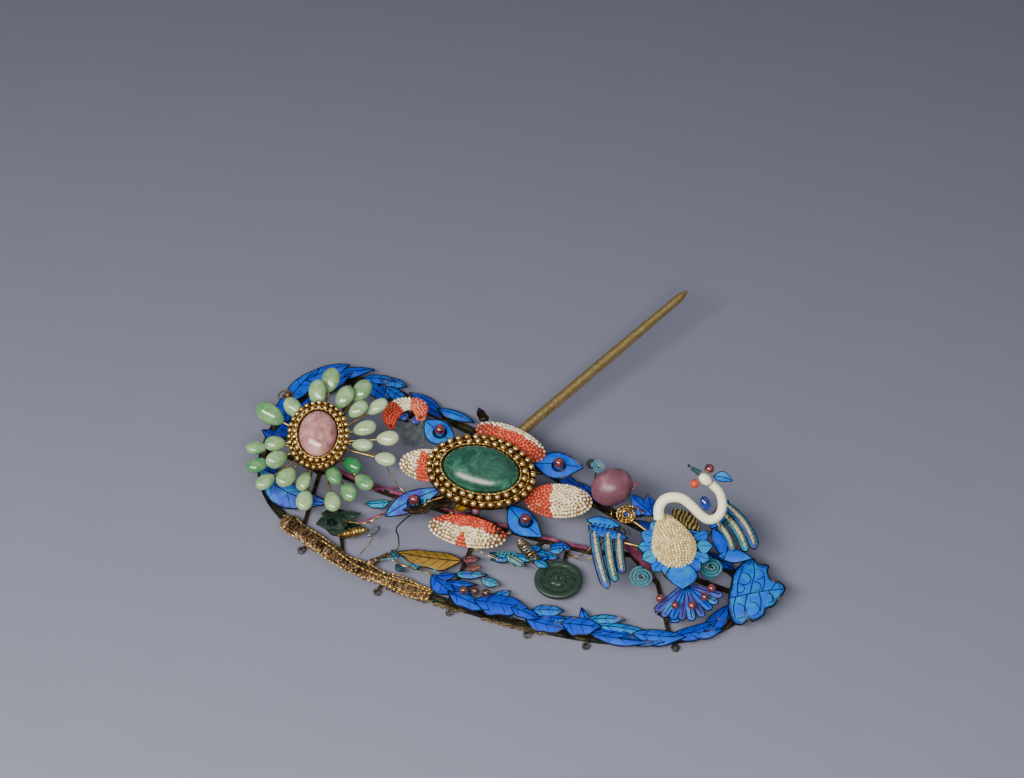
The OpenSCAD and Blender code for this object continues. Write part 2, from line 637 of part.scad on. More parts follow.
// Rows of the egg along its length: x, y, z, half width, half height, all grown by extra
function egg_rows(extra) = [
    for (k = [1 : 29])
        let (c = -cos(6 * k), s = c * (c < 0 ? body_a : body_n),
             f = sin(6 * k) * (1 - egg_narrowing * max(0, s)))
        [s, 0, 0, body_b * f + extra, body_h * f + extra]
];
module crane_body() {
    clear_r = neck_r + seat_gap + 0.05;
    color("antiquewhite") difference() {
        leaning(crane_at, crane_lean) rotate(body_turn) intersection() {
            sweep(egg_rows(0), 24);
            translate([-20, -20, 0]) cube([40, 40, 20]);
        }
        leaning(neck_at, neck_lean)
            bar([NECK[0][0], NECK[0][1] - 0.3, 0], [NECK[1][0], NECK[1][1] + 1, 0], clear_r);
    }
}
// Scalloped plate below the body, with the arms that carry wings, tail and coils
module crane_plumage() {
    n = 72;
    arm_r = 0.5;
    color("deepskyblue") {
        leaning(crane_at, crane_lean) {
            translate([0.6, 0, -crane_hub_l]) linear_extrude(1) union() {
                polygon([for (k = [0 : n - 1])
                    let (a = 360 * k / n, r = 1 + 0.05 * cos(12 * a))
                    [12.4 * r * cos(a), 12.6 * r * sin(a)]]);
                polygon([[-8.4, -9], [2.4, -17.8], [9, -8.6]]);
            }
            for (p = [[-22, 6, -5.2], [17, 11, -5.2], [4, -17, -5.2], [-15.9, 13.3, -1.9], [-11, 19, -3.7],
                      [-11, -9.1, -7.2], [13.5, -5, -7.2]])
                arm(p, 1.6, arm_r);
        }
        stem(crane_foot);
    }
}
module crane_collar() {
    color("goldenrod") leaning(crane_at, crane_lean) difference() {
        translate([0, 14.4, 0]) rotate(-42) leaf(13, 6.6, 0, vault = 0.08);
        rotate(body_turn) translate([0, 0, -1]) linear_extrude(8) polygon(concat(
            [for (r = egg_rows(0.3)) [r[0], -r[3]]], [[body_n + 0.3, 0]],
            [for (k = [28 : -1 : 0]) let (r = egg_rows(0.3)[k]) [r[0], r[3]]], [[-body_a - 0.3, 0]]));
    }
}
module crane_shoulder() {
    color("royalblue") leaning(crane_at, crane_lean) leaves(SHOULDER, -3);
}
module crane_wing_left() {
    color("cornflowerblue") leaning(crane_at, crane_lean) leaves(WING_LEFT, -4.5);
}
module crane_wing_right() {
    color("cornflowerblue") leaning(crane_at, crane_lean) leaves(WING_RIGHT, -4.5);
}
module crane_tail() {
    color("slateblue") leaning(crane_at, crane_lean) leaves(TAIL, -4.5);
}
module tail_garnets() {
    r = 1.5;
    color("darkred") leaning(crane_at, crane_lean)
        for (p = TAIL_BEADS) translate([p[0], p[1], -4.5 + leaf_t + 0.6 + seat_gap + r]) sphere(r);
}

module crane_neck() {
    steps = 26;
    rows = smooth_rows(NECK, steps);
    color("ivory") leaning(neck_at, neck_lean)
        sweep([for (k = [0 : steps])
            let (r = neck_r - 0.4 * k / steps) [rows[k][0], rows[k][1], 0, r, r]], 14);
}
module crane_head() {
    color("ivory") leaning(neck_at, neck_lean) translate([15.6, 12.8, 0]) rotate(140) scale([2.6, 1.9, 1.9])
        sphere(1, $fn = 32);
}
module crane_beak() {
    color("olive") leaning(neck_at, neck_lean) translate([13.6, 15, 0]) rotate([0, 90, 145])
        cylinder(r1 = 1.2, r2 = 0.2, h = 4.6);
}
module crane_crest() {
    color("dodgerblue") leaning(neck_at, neck_lean)
        translate([18.3, 13.95, -0.6]) rotate(-13) leaf(7, 3.6, 0.6);
}
module head_garnet() {
    color("darkred") leaning(neck_at, neck_lean) translate([17, 16.6, 0]) sphere(1.7);
}
module head_coral() {
    color("tomato") leaning(neck_at, neck_lean) translate([11.9, 11.25, 0]) sphere(1.6);
}
module neck_drop() {
    color("midnightblue") leaning(neck_at, neck_lean)
        translate([15.7, 4.25, 0]) rotate(-70) translate([-2.6, 0, 0]) drop(5.4, 3.8, 3);
}

// Coil of wire in the crane's frame
module spiral(p, r1, turns, wire) {
    leaning(crane_at, crane_lean) translate(p) flat_coil(0.7, r1, turns, wire);
}
module spiral_gold() {
    color("gold") spiral([-15.9, 13.3, -0.7], 3.6, 3, 0.45);
}
module spiral_blue() {
    color("darkturquoise") spiral([-11, -9.1, -6], 4.2, 3, 0.45);
}
module spiral_green() {
    color("mediumaquamarine") spiral([13.5, -5, -6], 4.2, 3, 0.45);
}

base_plate();
trunk();
pin();
eyelet(0);  // eyelet_1
eyelet(1);  // eyelet_2
eyelet(2);  // eyelet_3
eyelet(3);  // eyelet_4
eyelet(4);  // eyelet_5
eyelet(5);  // eyelet_6
leaves_arch();
leaf_left();
leaves_ruffled();
leaves_lance();
leaves_front();
leaves_front_right();
leaves_back();
end_leaf();
twigs();
jade_leaf();
amber_leaf();
coiled_bud();
jade_disc();
silk_stems();
rose_stone();
rose_setting();
petal_wires();
jade_petals_inner();
jade_petals_outer();
green_stone();
green_setting();
petal_back();
petal_right();
petal_front();
petal_left();
feather_eye(0);  // feather_eye_1
feather_eye(1);  // feather_eye_2
feather_eye(2);  // feather_eye_3
feather_eye(3);  // feather_eye_4
eye_garnets();
coral_bud();
front_garnets();
pink_bead();
crane_body();
crane_plumage();
crane_collar();
crane_shoulder();
crane_wing_left();
crane_wing_right();
crane_tail();
tail_garnets();
crane_neck();
crane_head();
crane_beak();
crane_crest();
head_garnet();
head_coral();
neck_drop();
spiral_gold();
spiral_blue();
spiral_green();
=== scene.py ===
"""Flower hair ornament: leaves of kingfisher feather, two stone flowers, a crane and one long gilt pin.

Lengths in the tables are millimetres of the layout, as in the part's source, until a piece is placed.
"""
import functools
import math
import random
from math import cos, pi, radians, sin

import bmesh
import bpy
import numpy as np
from bpy.props import FloatProperty, FloatVectorProperty, IntProperty, PointerProperty
from mathutils import Matrix, Vector, noise


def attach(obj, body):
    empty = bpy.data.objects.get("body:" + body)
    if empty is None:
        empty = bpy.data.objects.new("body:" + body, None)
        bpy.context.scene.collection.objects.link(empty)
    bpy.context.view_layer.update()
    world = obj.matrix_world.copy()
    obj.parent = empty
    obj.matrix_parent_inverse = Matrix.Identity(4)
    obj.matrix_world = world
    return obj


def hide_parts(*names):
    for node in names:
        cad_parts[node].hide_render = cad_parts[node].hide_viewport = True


bl_info = {
    "name": "Flower hair ornament",
    "version": (1, 0, 0),
    "blender": (4, 5, 0),
    "location": "3D View > Sidebar > Ornament",
    "description": "Builds the feather, jade, coral and pearl ornament round its solid parts",
    "category": "Add Mesh",
}

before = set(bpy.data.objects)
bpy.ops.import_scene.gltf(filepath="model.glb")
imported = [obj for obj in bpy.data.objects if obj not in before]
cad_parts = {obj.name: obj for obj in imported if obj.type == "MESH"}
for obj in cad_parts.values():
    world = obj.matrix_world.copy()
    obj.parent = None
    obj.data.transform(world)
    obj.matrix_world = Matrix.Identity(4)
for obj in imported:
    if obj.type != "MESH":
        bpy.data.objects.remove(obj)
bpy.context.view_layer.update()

MM = 0.001
# Middle of the layout, which stands at the origin
MIDDLE = Vector((1.9, 28.25, 0.0))
LAYOUT = Matrix.Scale(MM, 4) @ Matrix.Translation(-MIDDLE)
# Place of a mesh that isn't moved in its frame
HERE = [Matrix.Identity(4)]
# Angles from which the camera looks, in degrees
AZIMUTH, ELEVATION = 21, 46


def turned(degrees, axis="Z"):
    return Matrix.Rotation(radians(degrees), 4, axis)


def leaning(at, lean):
    """Frame of a flower or of the crane: turned to the front and leaning to it."""
    turn = turned(AZIMUTH) @ turned(lean, "X")
    return LAYOUT @ Matrix.Translation(at) @ turn


ROSE = leaning((-71.4, -11.0, 21.0), 18)
GREEN = leaning((-11.5, -3.8, 18.0), 12)
CRANE = leaning((63.1, -10.4, 15.0), 8)
NECK_FRAME = leaning((55.6, -3.7, 21.0), 55)
END = leaning((95.1, -13.1, 4.4), 8)

# Heights in the layout: top of the base plate, underside of what lies on it, and a leaf's edge
PLATE_T = 1.4
DECK = 1.6
LEAF_T = 0.8

# Middle line of the rim, counter-clockwise from the left end: x, y
RIM = [
    (-95, -8), (-86, -27), (-68, -39.5), (-42, -48.5), (-12, -51.5), (22, -51.5), (54, -47),
    (80, -35), (92, -19), (85, -4), (62, 2), (31, 9), (-4, 22), (-40, 30), (-75, 37), (-94, 19),
]
# Leaves: x, y of the stem end, x, y of the tip, width, bend, lobes
ARCH = [
    (-92, 5, -98, 19, 7, 0.8, 0), (-96, 14, -92, 34.4, 7.5, 1, 0), (-94, 27, -82, 40.6, 7.5, 1, 0),
    (-87.5, 32.4, -72.4, 41.8, 5.6, 0.8, 0), (-91, 9, -87, 26, 5, -0.6, 0),
    (-88.4, 21.8, -79.4, 37.6, 5.2, 0.3, 0), (-90, 8.8, -102, 11.5, 4, 0, 0),
    (-90, -3, -99, -1.5, 5, 0, 0), (-92, -7, -92, 9, 5, 0, 0),
]
LEFT = [
    (-91, -20.5, -60.5, -26.4, 11.5, -4, 0), (-92, -13, -83, -24, 5.4, -0.6, 0),
]
RUFFLED = [
    (-74.6, 35.8, -63, 39, 5.8, 0.8, 2), (-68, 38, -57.6, 37.8, 5.4, 0.6, 2),
    (-73, 35, -61, 29.6, 6.4, -0.6, 2), (-65, 34.6, -55.4, 31.6, 6.2, 0, 2), (-67, 36, -62, 28.6, 4.4, 0, 0),
]
LANCES = [
    (-55.8, 35.6, -40, 29.6, 4, 1.5, 0), (-54, 33, -39, 27.4, 3.6, 0.8, 0),
    (-43, 31.4, -27.6, 30, 4.6, 0.6, 0),
]
FRONT = [
    (-14.4, -44, -3.5, -49.3, 7, -0.4, 0), (-7.6, -40.6, 3.7, -36.6, 3.6, 0.3, 0),
    (-9.4, -45.4, 2, -42, 3, 0.4, 0), (2, -38.9, 9.5, -39.4, 4.2, 0, 0), (-9, -47.4, 3, -46, 4.6, 0.4, 0),
    (-6.5, -49, 10.2, -51.6, 7, 0, 2), (4, -50, 22.6, -46.5, 11, 0.5, 2), (9, -46, 14, -40.6, 4.4, 0, 0),
]
FRONT_RIGHT = [
    (24, -46.2, 34.5, -42.6, 6, 0.4, 2), (23.2, -50.8, 38.5, -49.6, 7, -0.3, 2),
    (25.4, -48.4, 37, -45.4, 4.6, 0, 0), (32.7, -49.5, 39.5, -43.8, 5.4, 0, 0),
    (35.5, -48.3, 49, -45, 9.4, 0, 2), (44.5, -46, 39.5, -38.6, 3.4, 0, 0),
    (43, -43.4, 55.5, -38.6, 4.6, 0.6, 0), (46.5, -44.6, 66, -41.2, 4.4, 0.8, 0),
    (46, -48.6, 68, -44.4, 5, -0.5, 0), (44, -47, 62, -44, 4, 0, 0), (60, -43.6, 77.5, -38.6, 7.2, -0.4, 0),
    (56, -46.8, 72, -42.4, 4.2, -0.3, 0), (72, -40.5, 85.5, -27.6, 6.2, -1.2, 0),
    (78, -36.4, 88.4, -30.8, 5, 0, 0), (82.6, -33.6, 86.8, -19.6, 6.2, -0.6, 0),
]
BACK = [
    (30, 10.5, 18.5, 15.8, 5, 0.5, 0), (20, 13.4, 7, 19.4, 4.6, 0.4, 0), (36.8, 7.4, 47.6, 11.6, 5.4, 0.5, 2),
    (57, 2.6, 44, 6, 5.2, -0.4, 2), (61, 2.2, 73, 2.4, 5, 0.4, 0), (72, 0.4, 84, -3.8, 5.2, 0.5, 2),
]
# Lobed outline of the end leaf: x, y
END_LEAF = [
    (-10.2, -3), (-10.2, -7.4), (-8.8, -11.6), (-6, -12.4), (-3.4, -10.2), (-2.2, -11.2), (1.6, -9),
    (2.6, -6.4), (5, -5.6), (7.4, -2.4), (9.6, 1.2), (8, 4), (5.2, 4.8), (3.8, 8.6), (4.4, 11.6), (0.8, 12.2),
    (-1, 15), (-4.6, 12.6), (-7.6, 8.4), (-8.6, 4.6),
]
TWIGS = [
    (24.4, -20.4, 14, -20, 3.6, 0, 0), (21, -21, 13.4, -24.6, 3.6, 0, 0), (19, -22.6, 0.6, -26.8, 4, 0.4, 2),
    (9, -24.6, 2, -29.6, 3.4, 0.4, 0),
]
# The same columns, in the crane's frame
SHOULDER = [(-6.6, 13.4, -14.6, 22.4, 6, 0, 0), (-7, 13, -8.6, 23, 4.6, -0.4, 0), (-8, 15, -17, 17.4, 4, 0, 0)]
WING_LEFT_BARS = [
    (-27.4, 9.4, -23.1, -15.6, 3.4, -0.9, 0), (-22.6, 9, -20.4, -12.8, 3, -0.7, 0),
    (-18.6, 8, -17.8, -9.4, 3, -0.5, 0),
]
WING_LEFT_TOP = [(-29.6, 9.6, -15.6, 5, 5, 0, 2), (-30, 12.6, -18, 9.8, 5.4, 0.6, 2)]
WING_RIGHT_BARS = [
    (18, 20.4, 28.8, 0.6, 3.6, 2.2, 0), (15.8, 17.6, 25.6, -0.4, 3.2, 2, 0), (14, 13.6, 20.8, -0.6, 3, 1.6, 0),
]
WING_RIGHT_TOP = [
    (13.6, 9, 20.4, 21, 5, 0, 0), (15.6, -2.4, 27.6, -3.6, 5.4, 1, 0), (14, 9, 17.6, -3.4, 5, 1, 0),
]
TAIL = [
    (4.2, -14, -7, -24.7, 3, 0, 0), (4, -14, -4.6, -27, 2.6, 0, 0), (4, -14, -1.3, -28, 3, 0, 0),
    (4, -14, 2, -28.4, 2.6, 0, 0), (4, -14, 5.6, -28.6, 3, 0, 0), (4, -14, 9.4, -27, 2.6, 0, 0),
    (4, -14, 12.4, -24, 3, 0, 0), (4, -14, 14.8, -21.4, 2.6, 0, 0), (4, -14, 16.6, -18.2, 3, 0, 0),
]
# Jade petals: angle, distance of the middle from the centre, length
PETALS_INNER = [
    (128, 15.4, 8.4), (93, 18.2, 9.4), (62, 18.6, 8.8), (40, 18, 7.8), (14, 16.8, 8.4), (-9, 15.8, 7.6),
    (-40, 16, 7.4), (-68, 15.4, 7.8), (-106, 17.4, 7.6), (-126, 18.6, 8.6), (-151, 16.8, 8), (-173, 15.6, 7.4),
]
PETALS_OUTER = [
    (149, 21, 11), (82, 24.8, 9.2), (54, 25, 9), (34, 24.8, 8.2), (3, 24.6, 8), (-16, 24.8, 7.6),
    (-44, 22.8, 7.8), (-61, 22.6, 7.6), (-77, 24, 8), (-101, 23.4, 8.2), (-140, 24.4, 7.8), (-157, 23.6, 8),
    (-174, 22.6, 7.4),
]
# Petals set with seed beads: angle, x, y, half length, half width
BEADED_PETALS = {
    "petal_back": (-28, 10.5, 15.2, 14, 6.4), "petal_right": (-3, 27.6, -9.2, 12.2, 7.1),
    "petal_front": (-13, -4.8, -21.6, 14.2, 6.4), "petal_left": (-8, -18.8, 5.4, 10.8, 6.8),
}
# Feather eyes between the petals, with the columns of the leaves
EYES = [
    (-20.5, 24.6, -9.6, 14.6, 10, 0, 0), (19, 6.6, 36.6, 4.8, 11, 0.6, 0),
    (10, -11, 21.6, -23.6, 10, -1, 0), (-34, -15, -13.6, -3.6, 8, 1.2, 0),
]
PETAL_Z, EYE_Z, INNER_Z, OUTER_Z = -6.0, -8.2, -4.4, -7.0
# Height of the wings and the tail in the crane's frame
WING_Z = -4.5
# Height of a strung petal over its edge
PETAL_H = 3.4
NECK = [
    (-0.3, -1.4), (-0.4, 2.5), (1.3, 5.4), (4.5, 6.4), (8, 5.7), (11.1, 3.2), (14, 0.2),
    (16.8, -1.6), (19.6, -1), (21.3, 1.4), (21.6, 4.7), (20.4, 8.4), (17.8, 11.03),
]
# Coral bud: x, y, half width
BUD = [
    (-53.6, 13.2, 1.6), (-55.6, 17.6, 3.2), (-55, 23, 3.4), (-51.4, 26, 2.8), (-47.4, 25.6, 3.2),
    (-45, 21, 2),
]

# Scraps of leaf that only wires hold: name, height, finish, rows of a leaf table, tone of each
SCRAPS = [
    ("front_bridge_leaves", 2.6, "feather",
     [(17, -48.4, 28, -49.6, 5.4, 0.4, 2), (-12.6, -44.4, -6, -41, 3.4, 0, 0)], [0.36, 0.2]),
    ("azure_scraps", 3.0, "feather",
     [(17.6, -19.2, 10.6, -21, 3.6, 0.3, 2), (20, -17.6, 26.4, -14.8, 4, 0.3, 2),
      (24.8, -16.4, 19.6, -19.6, 3.6, 0, 0), (16.8, -25.4, 23, -26.8, 3.4, 0.2, 0),
      (27, -16.4, 22, -14, 3, 0, 0)],
     [0.6, 0.5, 0.66, 0.7, 0.4]),
    ("teal_scraps", 2.2, "teal",
     [(-32, -38.4, -28, -41, 2.8, 0, 2), (-23.6, -41, -19.6, -43.4, 2.8, 0, 2),
      (-28, -44, -24, -46, 2.6, 0, 0),
      (6.3, -26.2, 15.2, -28.8, 3.8, 0.3, 2), (33.4, -1.5, 38.4, -2, 2.6, 0, 0)], [0.3, 0.5, 0.2, 0.7, 0.4]),
    # Dark jade scraps low under the carved jade leaf: partly leaf, partly a painted shadow that widens its
    # dark mass
    ("jade_leaf_shadow_scraps", 0.5, "jade",
     [(-58.6, -36.6, -45.4, -31.6, 8, 0, 3), (-62.4, -30.6, -54.4, -26.4, 5, 0, 2)], [0.3, 0.1]),
    ("turquoise_scrap", 4.2, "feather", [(-40.5, -19.3, -48.6, -23.4, 4.4, 0.4, 2)], [0.76]),
    ("chased_scraps", 8.0, "bark",
     [(-24, -18.4, -33.4, -24.4, 4.8, 0.5, 2), (-18, -12.6, -26.4, -19, 5, 0.4, 2),
      (-12, -17.6, -3.4, -20, 4.4, 0.3, 2), (-4, -18, 3, -22.6, 4, 0, 2), (-21, 26.6, -26.6, 32, 4, 0.3, 2)],
     [0.3, 0.2, 0.35, 0.2, 0.1]),
    ("amber_scrap", 9.4, "amber", [(-10.6, -11.4, -16.2, -19.3, 5.4, 0, 2)], [0.72]),
    ("faded_scraps", 2.9, "faded", [(-7, -34.4, -1, -31.4, 3.8, 0.3, 2), (-4.4, -37, 0.6, -34.8, 3, 0, 0)],
     [0.4, 0.6]),
    ("bud_scraps", 6.0, "feather", [(-50.4, 22, -52.6, 17.4, 3.2, 0, 0), (-48, 21.4, -45.2, 17.4, 3, 0, 0)],
     [0.95, 0.9]),
    ("violet_scrap", 4.4, "feather", [(71, -31, 65.6, -34.4, 4.6, 0, 2), (74, -31.6, 70, -36, 3, 0, 0)],
     [0.98, 0.92]),
    ("broad_ribbon", 2.8, "silk", [(42.6, -5.2, 57.3, -15.4, 2.6, 0.5, -1)], [0.5]),
]
# Loose wires: finish, radius, points
WIRES = [
    ("gilt", 0.2,
     [(-6.8, -27.9, 1.5), (-4.5, -27.8, 4), (0.4, -28.6, 3.6), (5.3, -28.6, 3), (10.1, -26.9, 1.5)]),
    ("gilt", 0.2, [(25.9, -17, 1.5), (30, -17.3, 3), (33, -17.4, 6), (34.6, -15.8, 8.6)]),
    ("gilt", 0.2, [(25.6, -15, 1.5), (29, -19, 4), (34, -20.4, 6), (37.6, -18, 8.4)]),
    ("gilt", 0.2, [(-56, -3, 10.4), (-48.8, -5.6, 9.6), (-43, -11, 9.4), (-36, -15.6, 9), (-28, -14, 9.4)]),
    ("dark", 0.28,
     [(-32.8, -40.4, 2.6), (-30.6, -36, 2.4), (-31.6, -33, 5), (-32.9, -31, 7.4), (-30, -24, 8.6)]),
    ("gilt", 0.3,
     [(-56, -31.5, 2.8), (-45.1, -31.3, 5), (-40, -25.2, 5.4), (-34, -24.6, 6.6), (-27, -20.6, 8.6)]),
    ("silk", 0.34,
     [(-48, -29.6, 3.6), (-45.1, -29.9, 5.2), (-41, -26.2, 6), (-35, -23, 7.4), (-24, -15.4, 9)]),
    ("silk", 0.34, [(-50.2, -14.8, 3.4), (-45, -12, 3.6), (-40.5, -10.1, 3.4)]),
    ("gilt", 0.22, [(-40.9, -19.6, 5.2), (-40.3, -15, 3.4), (-40, -12.2, 1.5)]),
    ("gilt", 0.4, [(-29.6, -23, 8.2), (-27, -19.6, 9.4), (-25.4, -17, 9.8), (-18, -10, 9.2)]),
    ("dark", 0.35, [(-24.4, -18.6, 8.6), (-19, -12, 8.8), (-13, -6, 8.6)]),
    ("dark", 0.35, [(-8, -18.6, 8.6), (-9.4, -12, 8.6), (-11, -6, 8.4)]),
    ("dark", 0.3, [(-12, -12.6, 10.2), (-11.6, -8, 9.4)]),
    ("gilt", 0.24, [(-32.6, -41, 2.6), (-26, -43.2, 3.2), (-20, -43, 3.2), (-11.4, -43.6, 2.8)]),
    ("teal", 0.26, [(-34, -43.6, 3), (-27.6, -40.6, 3.4), (-24, -42, 3.2), (-16, -40.4, 3), (-9, -45, 3)]),
    ("dark", 0.26, [(24.4, 11.4, 1.5), (25, 13, 6), (25.4, 14.4, 11.6), (25.9, 15.9, 13.4)]),
    ("gilt", 0.22, [(-52.4, 24.6, 5.5), (-51, 21.5, 6.6), (-49, 19.6, 6.8), (-45.6, 20.4, 7)]),
    ("dark", 0.3, [(-22.4, 26.2, 1.5), (-22, 27, 5), (-22.6, 28.2, 8.8)]),
    ("dark", 0.22, [(76.4, -11, 1.5), (76.4, -11.4, 4)]),
    ("gilt", 0.26, [(68.4, -33.2, 1.5), (69, -32.4, 5), (70.4, -30.6, 6)]),
    ("gilt", 0.24, [(33.2, 8.2, 7), (36, 2, 7.6), (35.9, -1.5, 3.4), (36, -11, 1.5)]),
    ("gilt", 0.2, [(-42, -47.4, 3.6), (-40, -38, 4.6), (-40.7, -34.6, 4.4)]),
]
# Wires wound into curls or springs: finish, radius of the wire, first and last point, radius, turns
SPRINGS = [
    ("gilt", 0.28, (9.4, -19.8, 5.2), (18.4, -25.8, 4.2), 2.0, 9),
    ("dark", 0.2, (-33, -22, 9), (-26, -17, 9.6), 1.1, 6),
    ("dark", 0.2, (31, -9, 8.6), (41, -4, 9), 1.4, 6),
    ("teal", 0.2, (30, -6, 8), (37, -10.6, 8.4), 1.3, 5),
    ("dark", 0.2, (52, 4.4, 3), (60, 3.4, 3), 1.2, 5),
    ("dark", 0.18, (-55, -30.4, 4), (-48.4, -36.4, 4), 1.1, 6),
    ("teal", 0.2, (3.4, -26.4, 3.4), (10, -24.4, 3.6), 1.2, 5),
]
# Flat curls: finish, middle, outer radius, turns, tilt to the front
CURLS = [
    ("teal", (25.9, 15.9, 14.2), 2.4, 2.5, 35), ("dark", (22.6, 17.6, 13), 1.9, 2, 35),
    ("teal", (76.4, -9.9, 4.2), 2.3, 2.5, 0), ("gilt", (-97.2, 16.8, 4.3), 3.2, 1.6, 0),
    ("dark", (-56.8, -34.4, 4.2), 1.8, 2, 0), ("dark", (67.4, -33.6, 6.4), 2.5, 1.5, 0),
]
# Loose beads: finish, middle, radius
LOOSE_BEADS = [
    ("brown", (-96.8, 17.0, 4.6), 1.5), ("brown", (-11.4, -15.6, 11), 1.5),
    ("rose", (-8.6, -16.4, 10.6), 1.35),
    ("gilt", (71.6, -29.4, 6), 1.2), ("brown", (-16.4, -19.8, 10), 1.0), ("coral", (41.2, 12.4, 14.6), 0.55),
    ("rose", (41.4, 11, 15.6), 0.55), ("coral", (40.8, 13.8, 14), 0.55), ("rose", (41.4, 9.6, 15.4), 0.5),
    ("gilt", (54.4, 1.4, 13.4), 0.8), ("coral", (55.4, 2.6, 13.4), 0.6), ("brown", (5.6, -20.6, 8.8), 1.1),
]


# Colours and nodes
def linear(text):
    """Linear colour of an sRGB hex value."""
    channels = [int(text[i:i + 2], 16) / 255 for i in (1, 3, 5)]
    return tuple(c / 12.92 if c <= 0.04045 else ((c + 0.055) / 1.055) ** 2.4 for c in channels) + (1.0,)


def add(tree, kind, inputs=None, stops=None, **settings):
    """Adds a node. An input is a value, or a (node, output) pair that is linked to it."""
    made = tree.nodes.new(kind)
    for key, value in settings.items():
        setattr(made, key, value)
    for key, value in (inputs or {}).items():
        if isinstance(value, tuple) and isinstance(value[0], bpy.types.Node):
            tree.links.new(value[0].outputs[value[1]], made.inputs[key])
        else:
            made.inputs[key].default_value = value
    if stops:
        ramp = made.color_ramp.elements
        while len(ramp) < len(stops):
            ramp.new(0.5)
        for element, (place, colour) in zip(ramp, stops):
            element.position = place
            element.color = linear(colour)
    return made


def new_material(name, **values):
    """Material with plain numbers on its shader's own sockets, then its nodes and its shader."""
    material = bpy.data.materials.new(name)
    material.use_nodes = True
    tree = material.node_tree
    shader = tree.nodes["Principled BSDF"]
    for key, value in values.items():
        shader.inputs[key.replace("_", " ")].default_value = value
    return material, tree, shader


def per_mm(size):
    """Scale of a noise whose grain is size millimetres, in metres of the object."""
    return 1 / (size * MM)


def grained(tree, place, size_mm, detail=2.0, **more):
    """Noise of that grain over the object."""
    return add(tree, "ShaderNodeTexNoise",
               {"Vector": (place, "Object"), "Scale": per_mm(size_mm), "Detail": detail, **more})


def calc(tree, operation, *inputs, **settings):
    return add(tree, "ShaderNodeMath", dict(enumerate(inputs)), operation=operation, **settings)


def colour_by(tree, shader, factor, stops):
    ramp = add(tree, "ShaderNodeValToRGB", {"Fac": factor}, stops)
    tree.links.new(ramp.outputs["Color"], shader.inputs["Base Color"])


def bump_by(tree, shader, height, depth_mm, strength):
    bump = add(tree, "ShaderNodeBump", {"Height": height, "Distance": depth_mm * MM, "Strength": strength})
    tree.links.new(bump.outputs["Normal"], shader.inputs["Normal"])


def toned(tree, grain_mm, spread, detail):
    """Tone of the copy, moved by a noise of that grain and spread, and the node of the object's places."""
    place = add(tree, "ShaderNodeTexCoord")
    tone = add(tree, "ShaderNodeAttribute", attribute_name="tone")
    shift = calc(tree, "MULTIPLY_ADD", (grained(tree, place, grain_mm, detail), "Fac"), spread, -0.5 * spread)
    return calc(tree, "ADD", (tone, "Fac"), (shift, 0), use_clamp=True), place


def clouded(name, grain_mm, detail, stops, dents=None, **values):
    """Finish whose colour follows a noise of that grain. It may dent it too: depth in mm, strength."""
    material, tree, shader = new_material(name, **values)
    cloud = grained(tree, add(tree, "ShaderNodeTexCoord"), grain_mm, detail)
    colour_by(tree, shader, (cloud, "Fac"), stops)
    if dents:
        bump_by(tree, shader, (cloud, "Fac"), *dents)
    return material


def shaded(name, grain_mm, spread, detail, stops, **values):
    """Finish whose colour follows the tone of the copy, moved by a noise of that grain and spread."""
    material, tree, shader = new_material(name, **values)
    colour_by(tree, shader, (toned(tree, grain_mm, spread, detail)[0], 0), stops)
    return material


@functools.cache
def gilt(name, colours, roughness, grain_mm, dent_mm):
    """Fire-gilt silver: the gilding is thin, so that brown shows where it wore, and hand work leaves dents."""
    material, tree, shader = new_material(name, Metallic=1.0)
    place = add(tree, "ShaderNodeTexCoord")
    wear = grained(tree, place, grain_mm, 5.0)
    colour_by(tree, shader, (wear, "Fac"), list(zip((0.3, 0.45, 0.6, 0.75), colours)))
    rough = add(tree, "ShaderNodeMapRange",
                {"Value": (wear, "Fac"), "To Min": roughness + 0.1, "To Max": roughness - 0.1})
    tree.links.new(rough.outputs["Result"], shader.inputs["Roughness"])
    bump_by(tree, shader, (grained(tree, place, 0.7), "Fac"), dent_mm, 0.5)
    return material


def fire_gilt():
    """Gilt wire and sheet that hands rarely touched: warm gold."""
    return gilt("fire_gilt_silver", ("#6E5230", "#A98A4C", "#C9AE6E", "#E6D29A"), 0.36, 2.2, 0.05)


def bright_gilt():
    """Gilt beads, which were burnished: pale gold with hard lights."""
    return gilt("burnished_gilt", ("#A8844A", "#CFB070", "#E2C98E", "#F2E2B4"), 0.26, 3.0, 0.015)


def pin_gilt():
    """The pin, drawn smooth and polished by hair: pale gold that is bright along its length."""
    return gilt("polished_gilt_pin", ("#B08E50", "#C6A666", "#D6B97C", "#E6CE98"), 0.38, 1.1, 0.008)


def bare_silver():
    """Eyelets, where thread rubbed the gilding off: grey silver with dark pits."""
    return gilt("bare_silver", ("#3E3A34", "#7C776C", "#B0AA9C", "#DCD8CC"), 0.34, 1.6, 0.03)


def gap_shadow_gilt():
    """Gilt sheet under the beaded rims, painted reddish brown as the shadow in the gaps between the beads."""
    return gilt("painted_gap_shadow_sheet", ("#24170C", "#46301A", "#6E4E28", "#9C7640"), 0.46, 2.6, 0.05)


def tarnish_and_shade_gilt():
    """Underside and ribs of the plate: tarnished grey-brown gilding, painted dark as the shade on the floor
    seen between the flowers.
    """
    return gilt("tarnished_floor_shade_metal", ("#2E2A20", "#4E4634", "#6E6348", "#94845A"), 0.5, 3.4, 0.06)


@functools.cache
def old_gilt():
    """Gilt wire with its gilding mostly gone: dark brown and black metal with gold left in patches."""
    return clouded("worn_gilt_wire", 4.5, 6.0,
                   [(0.4, "#080C10"), (0.52, "#10242C"), (0.6, "#3A3420"), (0.7, "#8E7440")],
                   (0.04, 0.4), Metallic=0.7, Roughness=0.45)


